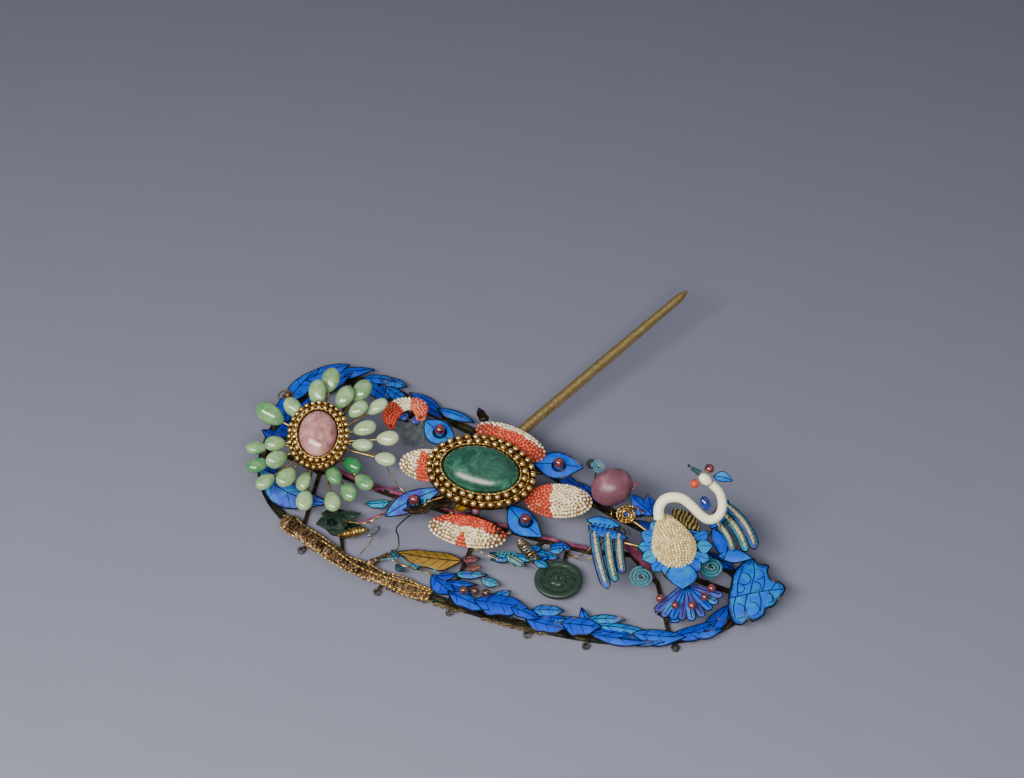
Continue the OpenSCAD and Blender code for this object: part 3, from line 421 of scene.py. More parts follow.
@functools.cache
def chased_bark():
    """Chased and granulated gilt sheet: bright ridges, with painted shade in the hollows, which the tone
    attribute carries, and between the grains.
    """
    material, tree, shader = new_material("chased_gilt_bark", Metallic=0.85, Roughness=0.42)
    place = add(tree, "ShaderNodeTexCoord")
    grains = add(tree, "ShaderNodeTexVoronoi", {"Vector": (place, "Object"), "Scale": per_mm(0.62)})
    tone = add(tree, "ShaderNodeAttribute", attribute_name="tone")
    # Painted shade between the grains, where the bump sinks
    grain_gap_shade = calc(tree, "MULTIPLY_ADD", (grains, "Distance"), -0.55, 0.2)
    worn = calc(tree, "MULTIPLY_ADD", (grained(tree, place, 2.5, 4.0), "Fac"), 0.7, -0.35)
    both = calc(tree, "ADD", (tone, "Fac"), (grain_gap_shade, 0))
    total = calc(tree, "ADD", (both, 0), (worn, 0), use_clamp=True)
    colour_by(tree, shader, (total, 0),
              [(0.0, "#2A1A10"), (0.3, "#58402C"), (0.55, "#84684A"), (0.8, "#A48C66"), (1.0, "#CDBC96")])
    bump_by(tree, shader, (grains, "Distance"), -0.16, 0.9)
    return material


@functools.cache
def chased_collar():
    """Gilt sheet chased with close lines: olive gold, darker in the cuts."""
    material, tree, shader = new_material("chased_gilt_sheet", Metallic=0.85, Roughness=0.4)
    place = add(tree, "ShaderNodeTexCoord")
    lines = add(tree, "ShaderNodeTexWave", {"Vector": (place, "Object"), "Scale": per_mm(4.4),
                                            "Distortion": 5.0, "Detail": 2.0, "Detail Scale": 1.6})
    colour_by(tree, shader, (lines, "Fac"),
              [(0.05, "#1C1A12"), (0.25, "#5A5030"), (0.6, "#8E8048"), (1.0, "#B8A86C")])
    bump_by(tree, shader, (lines, "Fac"), 0.15, 0.8)
    return material


@functools.cache
def kingfisher_feather():
    """Kingfisher barbs glued side by side on gilt sheet: silky blue with teal and violet, finely ribbed.

    The barbs, about 0.1 mm apart, are drawn 0.4 mm apart so that they show.
    """
    material, tree, shader = new_material("kingfisher_feather", Roughness=0.48, Specular_IOR_Level=0.3,
                                          Sheen_Weight=0.06, Sheen_Roughness=0.35,
                                          Sheen_Tint=linear("#4A9CFF"))
    tone, place = toned(tree, 3.5, 0.62, 5.0)
    colour = add(tree, "ShaderNodeValToRGB", {"Fac": (tone, 0)}, [
        (0.0, "#021E78"), (0.2, "#0233B8"), (0.4, "#0446D8"), (0.56, "#0A62E0"), (0.7, "#1488D6"),
        (0.8, "#2AA0C0"), (0.9, "#3C62DC"), (1.0, "#4646A0"),
    ])
    uv = add(tree, "ShaderNodeUVMap", uv_map="UVMap")
    split = add(tree, "ShaderNodeSeparateXYZ", {0: (uv, 0)})
    side = calc(tree, "ABSOLUTE", (split, "Y"))
    slant = calc(tree, "MULTIPLY_ADD", (side, 0), -0.8, (split, "X"))
    ripple = grained(tree, place, 1.6)
    bent = calc(tree, "MULTIPLY_ADD", (ripple, "Fac"), 0.5, (slant, 0))
    angle = calc(tree, "MULTIPLY", (bent, 0), 2 * pi / 0.4)
    barbs = calc(tree, "SINE", (angle, 0))
    shade = add(tree, "ShaderNodeMapRange",
                {"Value": (barbs, 0), "From Min": -1.0, "To Min": 0.66, "To Max": 1.05})
    edge = add(tree, "ShaderNodeAttribute", attribute_name="edge")
    fray = calc(tree, "MULTIPLY_ADD", (ripple, "Fac"), 0.3, (edge, "Fac"))
    bare = add(tree, "ShaderNodeMapRange", {"Value": (fray, 0), "From Min": 1.0, "From Max": 1.16})
    dimmed = add(tree, "ShaderNodeMix", {0: 1.0, 6: (colour, "Color"), 7: (shade, "Result")},
                 data_type="RGBA", blend_type="MULTIPLY")
    edged = add(tree, "ShaderNodeMix", {0: (bare, "Result"), 6: (dimmed, 2), 7: linear("#04181E")},
                data_type="RGBA")
    tree.links.new(edged.outputs[2], shader.inputs["Base Color"])
    bump_by(tree, shader, (barbs, 0), 0.03, 0.5)
    return material


@functools.cache
def coral_bead():
    """Red coral seed beads, cut from tube and tumbled: waxy orange-red, some paler."""
    return shaded("coral_seed_bead", 0.9, 0.3, 2.0,
                  [(0.0, "#A02412"), (0.4, "#C23A20"), (0.75, "#D04E30"), (1.0, "#DC7C60")],
                  Roughness=0.28, Coat_Weight=0.25, Coat_Roughness=0.15, Subsurface_Weight=0.08,
                  Subsurface_Scale=0.0006)


@functools.cache
def seed_pearl():
    """Drilled seed pearls: soft cream lustre, some grey or honey."""
    return shaded("seed_pearl", 1.2, 0.25, 2.0,
                  [(0.0, "#9A875A"), (0.3, "#CDBB8C"), (0.65, "#ECDFB8"), (1.0, "#FBF4DE")],
                  Roughness=0.24, Coat_Weight=0.5, Coat_Roughness=0.08, Coat_IOR=1.6)


@functools.cache
def body_pearl():
    """Fine seed pearls on the crane, aged to a golden cream."""
    return shaded("aged_seed_pearl", 2.5, 0.3, 2.0,
                  [(0.0, "#8E7344"), (0.35, "#C0A368"), (0.7, "#E2CC92"), (1.0, "#F6E6B8")],
                  Roughness=0.26, Coat_Weight=0.45, Coat_Roughness=0.1, Coat_IOR=1.6)


@functools.cache
def padding(name, colour, dark):
    """Cotton pad under strung beads, which shows only as a dark ground between them, or matt faded silk."""
    return clouded(name, 0.5, 2.0, [(0.3, dark), (0.7, colour)], (0.1, 0.6), Roughness=0.9)


@functools.cache
def pale_jade():
    """Polished pale green jade drops: milky and translucent, with creamy and yellow-green clouds."""
    return shaded("pale_jade", 2.6, 0.75, 3.0,
                  [(0.0, "#1F7440"), (0.2, "#4A8454"), (0.36, "#6A9466"), (0.5, "#86A674"), (0.64, "#98B48A"),
                   (0.82, "#B0C29C"), (1.0, "#CED4BC")],
                  Roughness=0.12, Subsurface_Weight=0.35, Subsurface_Scale=0.0016,
                  Subsurface_Radius=(0.7, 1.0, 0.6), IOR=1.6, Coat_Weight=0.2)


@functools.cache
def marbled_jade():
    """Deep green cabochon, domed and polished: dark green with cloudy lighter veins."""
    material, tree, shader = new_material("marbled_green_stone", Roughness=0.24, IOR=1.55, Coat_Weight=0.08,
                                          Subsurface_Weight=0.1, Subsurface_Scale=0.001)
    place = add(tree, "ShaderNodeTexCoord")
    warp = grained(tree, place, 7)
    wide = add(tree, "ShaderNodeMix", {0: 0.012, 4: (place, "Object"), 5: (warp, "Color")}, data_type="VECTOR")
    veins = add(tree, "ShaderNodeTexNoise", {"Vector": (wide, 1), "Scale": per_mm(6), "Detail": 7.0,
                                             "Roughness": 0.62, "Distortion": 1.2})
    colour_by(tree, shader, (veins, "Fac"), [
        (0.3, "#10362C"), (0.45, "#1A483A"), (0.55, "#285C4A"), (0.64, "#3E7260"), (0.74, "#7E9E90"),
    ])
    return material


@functools.cache
def rose_quartz():
    """Rose quartz cabochon: dusty pink with milky clouds and fine inner cracks."""
    material, tree, shader = new_material("rose_quartz", Roughness=0.14, Subsurface_Weight=0.3,
                                          Subsurface_Scale=0.0015, Coat_Weight=0.3)
    place = add(tree, "ShaderNodeTexCoord")
    cloud = grained(tree, place, 5, 5.0, Distortion=0.8)
    cracks = add(tree, "ShaderNodeTexVoronoi", {"Vector": (place, "Object"), "Scale": per_mm(3.2)},
                 feature="DISTANCE_TO_EDGE")
    line = add(tree, "ShaderNodeMapRange",
               {"Value": (cracks, "Distance"), "From Max": 0.05, "To Min": 0.1, "To Max": 0.0})
    tone = calc(tree, "ADD", (cloud, "Fac"), (line, "Result"))
    colour_by(tree, shader, (tone, 0),
              [(0.3, "#84585A"), (0.45, "#A47472"), (0.6, "#B88C88"), (0.78, "#D0B0A8")])
    return material


@functools.cache
def pink_stone():
    """Mauve-pink stone bead, mottled and dull, with a few bright flaws."""
    return clouded("mottled_pink_stone", 4, 6.0,
                   [(0.3, "#623A4A"), (0.48, "#714754"), (0.6, "#7E525E"), (0.76, "#9A727C")],
                   Roughness=0.38, Subsurface_Weight=0.2, Subsurface_Scale=0.0015)


@functools.cache
def garnet():
    """Garnet and dark amber beads, polished: deep red-brown with a bright edge of light."""
    return clouded("garnet_bead", 1.6, 3.0, [(0.35, "#3A0E14"), (0.5, "#62202A"), (0.66, "#8E3B36")],
                   Roughness=0.1, Coat_Weight=0.6, IOR=1.75, Transmission_Weight=0.15)


@functools.cache
def brown_bead():
    """Brown agate beads: dark, glossy, with an amber glow."""
    return clouded("brown_agate_bead", 1.2, 3.0, [(0.35, "#1E100C"), (0.5, "#40241A"), (0.68, "#7A5234")],
                   Roughness=0.12, Coat_Weight=0.6)


@functools.cache
def carved_amber():
    """Carved yellow amber: ochre with dark dirt in the cuts."""
    return shaded("carved_amber", 3.0, 0.5, 4.0,
                  [(0.0, "#1E1408"), (0.25, "#47300F"), (0.5, "#6E5014"), (0.75, "#8C6C1E"), (1.0, "#A98A3A")],
                  Roughness=0.3, Subsurface_Weight=0.15, Subsurface_Scale=0.0012, Coat_Weight=0.2)


@functools.cache
def dark_jade():
    """Carved dark green jade, left matt: black-green with paler green on the ridges, and painted shade in the
    carved lines of the disc.
    """
    return shaded("carved_dark_jade", 3.0, 0.4, 4.0,
                  [(0.0, "#081410"), (0.4, "#16291F"), (0.7, "#263F32"), (1.0, "#4C6E56")],
                  Roughness=0.42, Subsurface_Weight=0.05, Subsurface_Scale=0.001)


@functools.cache
def wound_silk():
    """Magenta silk floss wound on wire: soft sheen, faded in places."""
    return clouded("magenta_silk_floss", 3.0, 3.0, [(0.3, "#3E1730"), (0.5, "#6E2548"), (0.7, "#964868")],
                   (0.06, 0.5), Roughness=0.6, Sheen_Weight=0.2, Sheen_Tint=linear("#FF9CC8"))


@functools.cache
def ivory_thread():
    """Ivory silk wound tightly round the crane's neck: glossy cream, with a faint painted shade in the grooves
    between the turns.
    """
    return shaded("ivory_silk_winding", 2.0, 0.25, 3.0,
                  [(0.0, "#8A7C58"), (0.3, "#E0D4A8"), (0.55, "#FFF6CC"), (1.0, "#FFF9DA")],
                  Roughness=0.3, Sheen_Weight=0.25, Coat_Weight=0.35, Coat_Roughness=0.3,
                  Subsurface_Weight=0.1, Subsurface_Scale=0.0008)


@functools.cache
def teal_strip():
    """Narrow feather strip on wire: teal that goes grey and gold where the barbs fell off."""
    return shaded("teal_feather_strip", 1.8, 0.6, 4.0,
                  [(0.0, "#0A2630"), (0.3, "#135264"), (0.55, "#2A7F92"), (0.75, "#6E9490"), (1.0, "#80744A")],
                  Roughness=0.4, Sheen_Weight=0.2)


@functools.cache
def deep_blue_glass():
    """Deep blue glass drop: nearly opaque, with a hard white highlight."""
    return clouded("deep_blue_glass", 2.5, 2.0, [(0.35, "#0C1C5A"), (0.6, "#1C3FA4")],
                   Roughness=0.06, Coat_Weight=0.5, Transmission_Weight=0.25)


@functools.cache
def clear_crystal():
    """Rock crystal bead: clear, slightly grey."""
    return clouded("rock_crystal", 1.5, 2.0, [(0.4, "#5A646C"), (0.7, "#98A0A6")],
                   Roughness=0.12, Transmission_Weight=0.6, IOR=1.54)


@functools.cache
def gauze():
    """Grey-green silk gauze of fine dark threads, frayed."""
    return clouded("grey_silk_gauze", 3, 2.0, [(0.4, "#38443F"), (0.7, "#6E7C74")], Roughness=0.8)


# Paths and small shapes
def between(a, b, c, d, t):
    """Point at place t of the smooth curve from b to c, where a comes before b and d after c."""
    return 0.5 * (2 * b + (c - a) * t + (2 * a - 5 * b + 4 * c - d) * t * t + (3 * b - a - 3 * c + d) * t ** 3)


def smooth(rows, steps, closed=False):
    """Points of a smooth curve through the rows, steps of them between two rows."""
    rows = [np.array(r, float) for r in rows]
    count = len(rows)
    out = []
    for i in range(count if closed else count - 1):
        near = [rows[j % count] if closed else rows[max(0, min(count - 1, j))] for j in range(i - 1, i + 3)]
        out += [between(*near, k / steps) for k in range(steps)]
    return out if closed else out + [rows[-1]]


def rim_point(s, out, z):
    """Point of the rim at place s, moved outwards."""
    def at(s):
        i = math.floor(s)
        near = [np.array(RIM[j % len(RIM)], float) for j in range(i - 1, i + 3)]
        return between(*near, s - i)

    d = at(s + 0.02) - at(s - 0.02)
    d /= np.linalg.norm(d)
    p = at(s) + out * np.array([d[1], -d[0]])
    return Vector((p[0], p[1], z))


def evenly(path, step, closed=False):
    """The path cut into equal steps of about that length."""
    points = np.array([tuple(p) for p in path], float)
    if closed:
        points = np.vstack([points, points[:1]])
    lengths = np.concatenate([[0], np.cumsum(np.linalg.norm(np.diff(points, axis=0), axis=1))])
    count = max(2, int(round(lengths[-1] / step)))
    places = np.linspace(0, lengths[-1], count + 1)
    cut = np.stack([np.interp(places, lengths, points[:, k]) for k in range(3)], axis=1)
    return cut[:-1] if closed else cut


def strands(path, radius, pitch, count=2, closed=False, per_turn=8):
    """Paths of wires twisted round each other along a path."""
    points = evenly(path, pitch / per_turn, closed)
    turns = max(1, round(len(points) / per_turn))
    out = [[] for _ in range(count)]
    side = None
    for i, p in enumerate(points):
        ahead = points[(i + 1) % len(points)] if closed or i + 1 < len(points) else p
        behind = points[i - 1] if closed or i > 0 else p
        along = Vector(ahead - behind).normalized()
        if side is None:
            side = along.cross(Vector((0, 0, 1)))
            side = side if side.length > 0.1 else along.cross(Vector((1, 0, 0)))
        side = (side - along * side.dot(along)).normalized()
        up = along.cross(side)
        for k in range(count):
            a = 2 * pi * (turns * i / len(points) + k / count)
            out[k].append(Vector(p) + radius * (cos(a) * side + sin(a) * up))
    return out


def spring(first, last, radius, turns):
    """Path of a wire wound round the line from first to last, widest in the middle."""
    first, last = Vector(first), Vector(last)
    along = (last - first).normalized()
    side = along.cross(Vector((0, 0, 1))).normalized()
    up = side.cross(along)
    path = []
    for k in range(turns * 16 + 1):
        a, t = 2 * pi * k / 16, k / (turns * 16)
        wide = radius * (0.55 + 0.45 * sin(pi * t) ** 0.5)
        path.append(first.lerp(last, t) + wide * (cos(a) * side + sin(a) * up))
    return path


def wire(paths, radius, sides=6, closed=False, radii=None):
    """Mesh of round wires along paths, through a curve with a round bevel."""
    curve = bpy.data.curves.new("wire", "CURVE")
    curve.dimensions = "3D"
    curve.bevel_depth = radius
    curve.bevel_resolution = max(0, sides // 2 - 2)
    curve.use_fill_caps = not closed
    for path in paths:
        spline = curve.splines.new("POLY")
        spline.points.add(len(path) - 1)
        spline.points.foreach_set("co", [c for p in path for c in (p[0], p[1], p[2], 1.0)])
        if radii is not None:
            spline.points.foreach_set("radius", [float(r) for r in radii])
        spline.use_smooth = True
        spline.use_cyclic_u = closed
    holder = bpy.data.objects.new("wire", curve)
    mesh = bpy.data.meshes.new_from_object(holder)
    bpy.data.objects.remove(holder)
    bpy.data.curves.remove(curve)
    return mesh


def shape(bm):
    """Mesh of a finished bmesh."""
    mesh = bpy.data.meshes.new("shape")
    for face in bm.faces:
        face.smooth = True
    bm.to_mesh(mesh)
    bm.free()
    return mesh


@functools.cache
def ball(sides=12, rings=8):
    bm = bmesh.new()
    bmesh.ops.create_uvsphere(bm, u_segments=sides, v_segments=rings, radius=1.0)
    return shape(bm)


@functools.cache
def drop_shape():
    """Plump drop of length 1 along +x: its narrow end at x = 0, its broad end at x = 1."""
    bm = bmesh.new()
    bmesh.ops.create_uvsphere(bm, u_segments=20, v_segments=14, radius=1.0)
    bmesh.ops.rotate(bm, verts=bm.verts, matrix=Matrix.Rotation(pi / 2, 3, "Y"))
    for v in bm.verts:
        x = v.co.x
        narrow = 1 - 0.22 * (0.5 - 0.5 * x) ** 1.5
        v.co.y *= narrow * 0.5
        v.co.z *= narrow * 0.5
        v.co.x = 0.5 + 0.5 * x
    return shape(bm)


def ring(a, b, z, count):
    """Closed oval path round z."""
    return [Vector((a * cos(2 * pi * k / count), b * sin(2 * pi * k / count), z))
            for k in range(count)]


def thicken(bm, depth):
    """Gives an open sheet that depth, downwards."""
    made = bmesh.ops.extrude_face_region(bm, geom=bm.faces[:], use_keep_orig=True)
    below = [g for g in made["geom"] if isinstance(g, bmesh.types.BMVert)]
    bmesh.ops.translate(bm, verts=below, vec=(0, 0, -depth))
    bmesh.ops.recalc_face_normals(bm, faces=bm.faces)


def upright(p, normal, size, flat=1.0):
    """Place of a bead: its axis on the normal, size its radius."""
    turn = Vector(normal).to_track_quat("Z", "Y").to_matrix().to_4x4()
    return Matrix.Translation(Vector(p)) @ turn @ Matrix.Diagonal((size, size, size * flat, 1))


def set_uvs(bm, uv, place_of):
    """Fills a UV map: place_of gives each vertex its place in it."""
    for face in bm.faces:
        for loop in face.loops:
            loop[uv].uv = place_of(loop.vert)


def single(mesh, finish=0, tone=0.5):
    """Part for join that stands once, where it was drawn."""
    return mesh, HERE, finish, tone


def read(items, key, size, kind=float):
    """Values of all items of a mesh under that key, in one row."""
    values = np.empty(size, kind)
    items.foreach_get(key, values)
    return values


def point_values(mesh, name):
    """Numbers that a mesh keeps for its points under that name, or zeros."""
    count = len(mesh.vertices)
    return read(mesh.attributes[name].data, "value", count) if name in mesh.attributes else np.zeros(count)


def join(name, parts, finishes, base=LAYOUT, nodes=(), sharp=50):
    """One mesh object from copies of meshes.

    Each part is (mesh, places of its copies, number of its finish, tone of each copy).
    """
    points, corners, starts, kinds, uvs, tones, edges = [], [], [], [], [], [], []
    first, corner = 0, 0
    root = np.array(base)
    for mesh, places, finish, tone in parts:
        n, loops, faces = len(mesh.vertices), len(mesh.loops), len(mesh.polygons)
        matrices = root @ np.array([np.array(m) for m in places])
        copies = len(matrices)
        co = read(mesh.vertices, "co", n * 3).reshape(-1, 3)
        moved = np.einsum("mij,nj->mni", matrices[:, :3, :3], co) + matrices[:, None, :3, 3]
        index = read(mesh.loops, "vertex_index", loops, np.int32)
        start = read(mesh.polygons, "loop_start", faces, np.int32)
        own = read(mesh.polygons, "material_index", faces, np.int32)
        uv = read(mesh.uv_layers[0].data, "uv", loops * 2) if mesh.uv_layers else np.zeros(loops * 2)
        step = np.arange(copies)[:, None]
        tone = np.broadcast_to(np.asarray(tone, float), (copies,))
        points.append(moved.reshape(-1, 3))
        corners.append((index[None] + step * n + first).ravel())
        starts.append((start[None] + step * loops + corner).ravel())
        kinds.append(np.tile(own + finish, copies))
        uvs.append(np.tile(uv, copies))
        # A mesh's own height values are added to the tone: its low places get a painted shade
        tones.append((tone[:, None] + point_values(mesh, "height")[None]).ravel())
        edges.append(np.tile(point_values(mesh, "edge"), copies))
        first += n * copies
        corner += loops * copies
    mesh = bpy.data.meshes.new(name)
    mesh.vertices.add(first)
    mesh.vertices.foreach_set("co", np.concatenate(points).ravel())
    mesh.loops.add(corner)
    mesh.loops.foreach_set("vertex_index", np.concatenate(corners))
    start = np.concatenate(starts)
    mesh.polygons.add(len(start))
    mesh.polygons.foreach_set("loop_start", start)
    mesh.polygons.foreach_set("material_index", np.concatenate(kinds))
    mesh.polygons.foreach_set("use_smooth", np.ones(len(start), bool))
    mesh.uv_layers.new(name="UVMap").data.foreach_set("uv", np.concatenate(uvs))
    for key, values in (("tone", tones), ("edge", edges)):
        mesh.attributes.new(key, "FLOAT", "POINT").data.foreach_set("value", np.concatenate(values))
    mesh.update(calc_edges=True)
    mesh.validate()
    mesh.set_sharp_from_angle(angle=radians(sharp))
    for finish in finishes:
        mesh.materials.append(finish)
    piece = bpy.data.objects.new(name, mesh)
    bpy.context.scene.collection.objects.link(piece)
    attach(piece, "root")
    if nodes:
        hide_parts(*nodes)


def dress(material, *names):
    """Gives CAD nodes a material."""
    for name in names:
        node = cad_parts[name]
        node.data.materials.clear()
        node.data.materials.append(material)


# Leaves
def leaf_form(row):
    """Half width and middle line of a leaf at place t. With -1 lobes it is a strip with round ends."""
    width, bend, lobes = row[4:]
    # A leaf is widest at 0.45 of its length, and lobes are cut 0.22 of its width deep
    power = math.log(0.5) / math.log(0.45)
    depth = 0.22 if lobes else 0

    def half(t):
        if lobes < 0:
            return max(0.1, width / 2 * math.sqrt(max(0, 1 - max(0, (abs(2 * t - 1) - 0.72) / 0.28) ** 2)))
        lobed = 1 - depth * (0.5 + 0.5 * cos(2 * pi * lobes * t))
        return max(0.1, width / 2 * sin(pi * min(1, max(0, t)) ** power) * lobed)
    return half, lambda t: 4 * bend * t * (1 - t)


def leaf_place(row, z):
    turn = math.atan2(row[3] - row[1], row[2] - row[0])
    return Matrix.Translation((row[0], row[1], z)) @ Matrix.Rotation(turn, 4, "Z")


def leaf_sheet(row, vault=0.16, thick=0.45, cells=(18, 6)):
    """Vaulted sheet of one leaf along +x, its edge LEAF_T above z = 0, and the function of its top."""
    length = math.hypot(row[2] - row[0], row[3] - row[1])
    half, middle = leaf_form(row)
    rise = vault * row[4]

    def point(t, side, up=0.0):
        off = side * half(t)
        return Vector((length * t, middle(t) + off, LEAF_T + rise * (1 - (2 * off / row[4]) ** 2) + up))

    bm = bmesh.new()
    uv = bm.loops.layers.uv.new("UVMap")
    edge = bm.verts.layers.float.new("edge")
    bmesh.ops.create_grid(bm, x_segments=cells[0], y_segments=cells[1], size=1)
    flat = {}
    for v in bm.verts:
        t, side = v.co.x / 2 + 0.5, v.co.y
        v[edge] = abs(side)
        flat[v.index] = (length * t, side * half(t))
        v.co = point(t, side)
    set_uvs(bm, uv, lambda v: flat[v.index])
    thicken(bm, thick)
    return shape(bm), point


def strips(rows):
    """The same rows, as strips with round ends."""
    return [row[:6] + (-1,) for row in rows]


def leaf_rim(place, point, count=22):
    """Path round the edge of a leaf."""
    return ([place @ point(i / count, 1) for i in range(count + 1)]
            + [place @ point(i / count, -1) for i in range(count - 1, 0, -1)])


def feather_leaves(name, rows, z, tones, base=LAYOUT, nodes=(), vault=0.16, rim_r=0.2,
                   rib_r=0.16, veins=3, extra=(), finish=None, wire_finish=None):
    """Leaves of feather on gilt sheet, with wire round the edge, a midrib and side veins."""
    parts, rims, ribs, side_veins = [], [], [], []
    for k, row in enumerate(rows):
        sheet, point = leaf_sheet(row, vault)
        place = leaf_place(row, z)
        parts.append((sheet, [place], 0, tones[k % len(tones)]))
        rims.append(leaf_rim(place, point))
        ribs.append([place @ point(0.02 + 0.9 * i / 10, 0, 0.06) for i in range(11)])
        for i in range(veins):
            t = 0.2 + 0.55 * i / max(1, veins - 1)
            for side in (-0.8, 0.8):
                side_veins.append([place @ point(t + 0.13 * u, side * u, 0.03) for u in (0, 0.35, 0.7, 1)])
    parts.append(single(wire(rims, rim_r, closed=True), 1))
    if rib_r:
        parts.append(single(wire(ribs, rib_r), 1))
    if side_veins:
        parts.append(single(wire(side_veins, 0.11, 4), 1))
    parts.extend(extra)
    finishes = [finish or kingfisher_feather(), wire_finish or old_gilt(), fire_gilt(), ivory_thread(),
                teal_strip()]
    join(name, parts, finishes, base, nodes)


# Strung beads
def packed_on_dome(a, b, h, spacing, seed):
    """Places and outward normals of beads packed evenly over a half egg dome.

    They start at random and push each other apart. Their number follows from the area of the dome, which
    Thomsen's formula gives.
    """
    power = 1.6075
    area = 2 * pi * (((a * b) ** power + (a * h) ** power + (b * h) ** power) / 3) ** (1 / power)
    count = int(area / (0.83 * spacing ** 2))
    rng = np.random.default_rng(seed)
    size = np.array([a, b, h])
    p = rng.normal(size=(count, 3))
    p[:, 2] = abs(p[:, 2])
    p /= np.linalg.norm(p, axis=1)[:, None]
    p *= size
    for _ in range(90):
        gap = p[:, None] - p[None]
        far = np.linalg.norm(gap, axis=2) + 1e-9
        push = np.clip(1.5 * spacing - far, 0, None) / far
        np.fill_diagonal(push, 0)
        p += 0.12 * (gap * push[:, :, None]).sum(axis=1)
        p[:, 2] = np.maximum(p[:, 2], 0.02 * h)
        unit = p / size
        p = unit / np.linalg.norm(unit, axis=1)[:, None] * size
    normal = p / size ** 2
    return p, normal / np.linalg.norm(normal, axis=1)[:, None]


def dome_shape(a, b, h):
    """Half egg dome on z = 0, closed below."""
    bm = bmesh.new()
    bmesh.ops.create_uvsphere(bm, u_segments=32, v_segments=16, radius=1.0)
    cut = bmesh.ops.bisect_plane(bm, geom=bm.verts[:] + bm.edges[:] + bm.faces[:], dist=1e-5,
                                 plane_co=(0, 0, 0), plane_no=(0, 0, -1), clear_outer=True)
    bmesh.ops.contextual_create(bm, geom=[g for g in cut["geom_cut"] if isinstance(g, bmesh.types.BMEdge)])
    bmesh.ops.scale(bm, vec=(a, b, h), verts=bm.verts)
    return shape(bm)


def strung_petal(name, pearl_at, seed, bead_r):
    """Padded petal strung with coral beads, and with pearls where pearl_at says so."""
    angle, x, y, a, b = BEADED_PETALS[name]
    # Half axes of the dome on which the middles of the beads stand
    pad = (a - bead_r, b - bead_r, PETAL_H - bead_r * 0.9)
    place = Matrix.Translation((x, y, PETAL_Z)) @ turned(angle)
    rng = random.Random(seed)
    places, tones = ([], []), ([], [])
    for point, normal in zip(*packed_on_dome(*pad, bead_r * 1.9, seed)):
        kind = int(pearl_at(point[0] / a, point[1] / b))
        size = bead_r * rng.uniform(0.88, 1.06)
        tilt = Vector(normal) + Vector((rng.uniform(-0.3, 0.3), rng.uniform(-0.3, 0.3), 0))
        places[kind].append(place @ upright(point, tilt, size, rng.uniform(0.85, 1.0)))
        tones[kind].append(rng.betavariate(2.5, 2.0))
    parts = [(dome_shape(*pad), [place], 2, 0.5)]
    parts += [(ball(), places[k], k, tones[k]) for k in (0, 1) if places[k]]
    join("strung_" + name, parts,
         [coral_bead(), seed_pearl(), padding("brown_cotton_pad", "#7A4A34", "#4A281C")],
         GREEN, (name,))


def gilt_beads(name, a, b, r, counts, turn, base):
    """Burnished beads in two rows round a stone of half axes a and b."""
    in_a, in_b = a + 1.8 * r, b + 1.7 * r
    rows = ((in_a, in_b, -0.2), (in_a + 2.5 * r, in_b + 2.1 * r, -1.1))
    places = []
    for (x, y, z), count in zip(rows, counts):
        flat = (x * x - y * y) / (4 * (x * x + y * y))
        for k in range(count):
            u = 2 * pi * k / count
            t = u + flat * sin(2 * u)
            at = (x * cos(t), y * sin(t), z + 0.7 * r)
            places.append(turn @ Matrix.Translation(at) @ Matrix.Scale(1.05 * r, 4))
    rope = strands(ring(a + 0.75, b + 0.75, 0.9, 100), 0.17, 1.4, closed=True, per_turn=6)
    foot = strands(ring(in_a + 1.2 * r, in_b + r, -0.85, 100), 0.2, 1.6, closed=True, per_turn=6)
    join(name, [(ball(16, 10), places, 0, 0.5), (wire(rope + foot, 0.18, closed=True), [turn], 1, 0.5)],
         [bright_gilt(), fire_gilt()], base)


# Operators
class OrnamentSizes(bpy.types.PropertyGroup):
    """Sizes that a user would change"""
    rope_r: FloatProperty(name="Rope wire radius", default=0.26, min=0.1, max=0.5,
                          description="Radius of one strand of the wire that edges the branch, in mm")
    rope_pitch: FloatProperty(name="Rope pitch", default=2.4, min=1.0, max=5.0,
                              description="Length of one full twist of the edge wire, in mm")
    seed_r: FloatProperty(name="Seed bead radius", default=0.64, min=0.5, max=1.2,
                          description="Radius of the beads strung on the petals, in mm")
    body_r: FloatProperty(name="Body pearl radius", default=0.58, min=0.4, max=0.9,
                          description="Radius of the pearls on the crane's body, in mm")
    thread_turn: FloatProperty(name="Thread turn", default=0.9, min=0.4, max=2.0,
                               description="Distance between turns of thread on the neck, in mm")
    bark_ridges: IntProperty(name="Bark ridges", default=60, min=20, max=150,
                             description="Knobs of the chased bark along the branch")


class OrnamentColours(bpy.types.PropertyGroup):
    """Colours of the stage"""
    ground: FloatVectorProperty(name="Ground", description="Colour of the floor", subtype="COLOR", size=3,
                                default=linear("#75788C")[:3], min=0, max=1)
    light: FloatVectorProperty(name="Light", description="Colour of the main light", subtype="COLOR", size=3,
                               default=linear("#FFF8EE")[:3], min=0, max=1)


class ORNAMENT_OT_base(bpy.types.Operator):
    """Tarnished base plate painted as shade, polished pin and bare silver eyelets, with twisted wire along the
    rim
    """
    bl_idname = "ornament.base"
    bl_label = "Base, pin and eyelets"

    def execute(self, context):
        sizes = context.scene.ornament_sizes
        # The plate is tarnished and painted as the shade under the flowers
        dress(tarnish_and_shade_gilt(), "base_plate")
        dress(pin_gilt(), "pin")
        dress(bare_silver(), *[f"eyelet_{k}" for k in range(1, 7)])
        paths = []
        for out in (-1.15, 1.15):
            line = [rim_point(16 * k / 320, out, PLATE_T - 0.05) for k in range(320)]
            paths += strands(line, 0.2, sizes.rope_pitch, closed=True, per_turn=6)
        join("rim_wire", [single(wire(paths, 0.2, closed=True))], [old_gilt()])
        return {"FINISHED"}


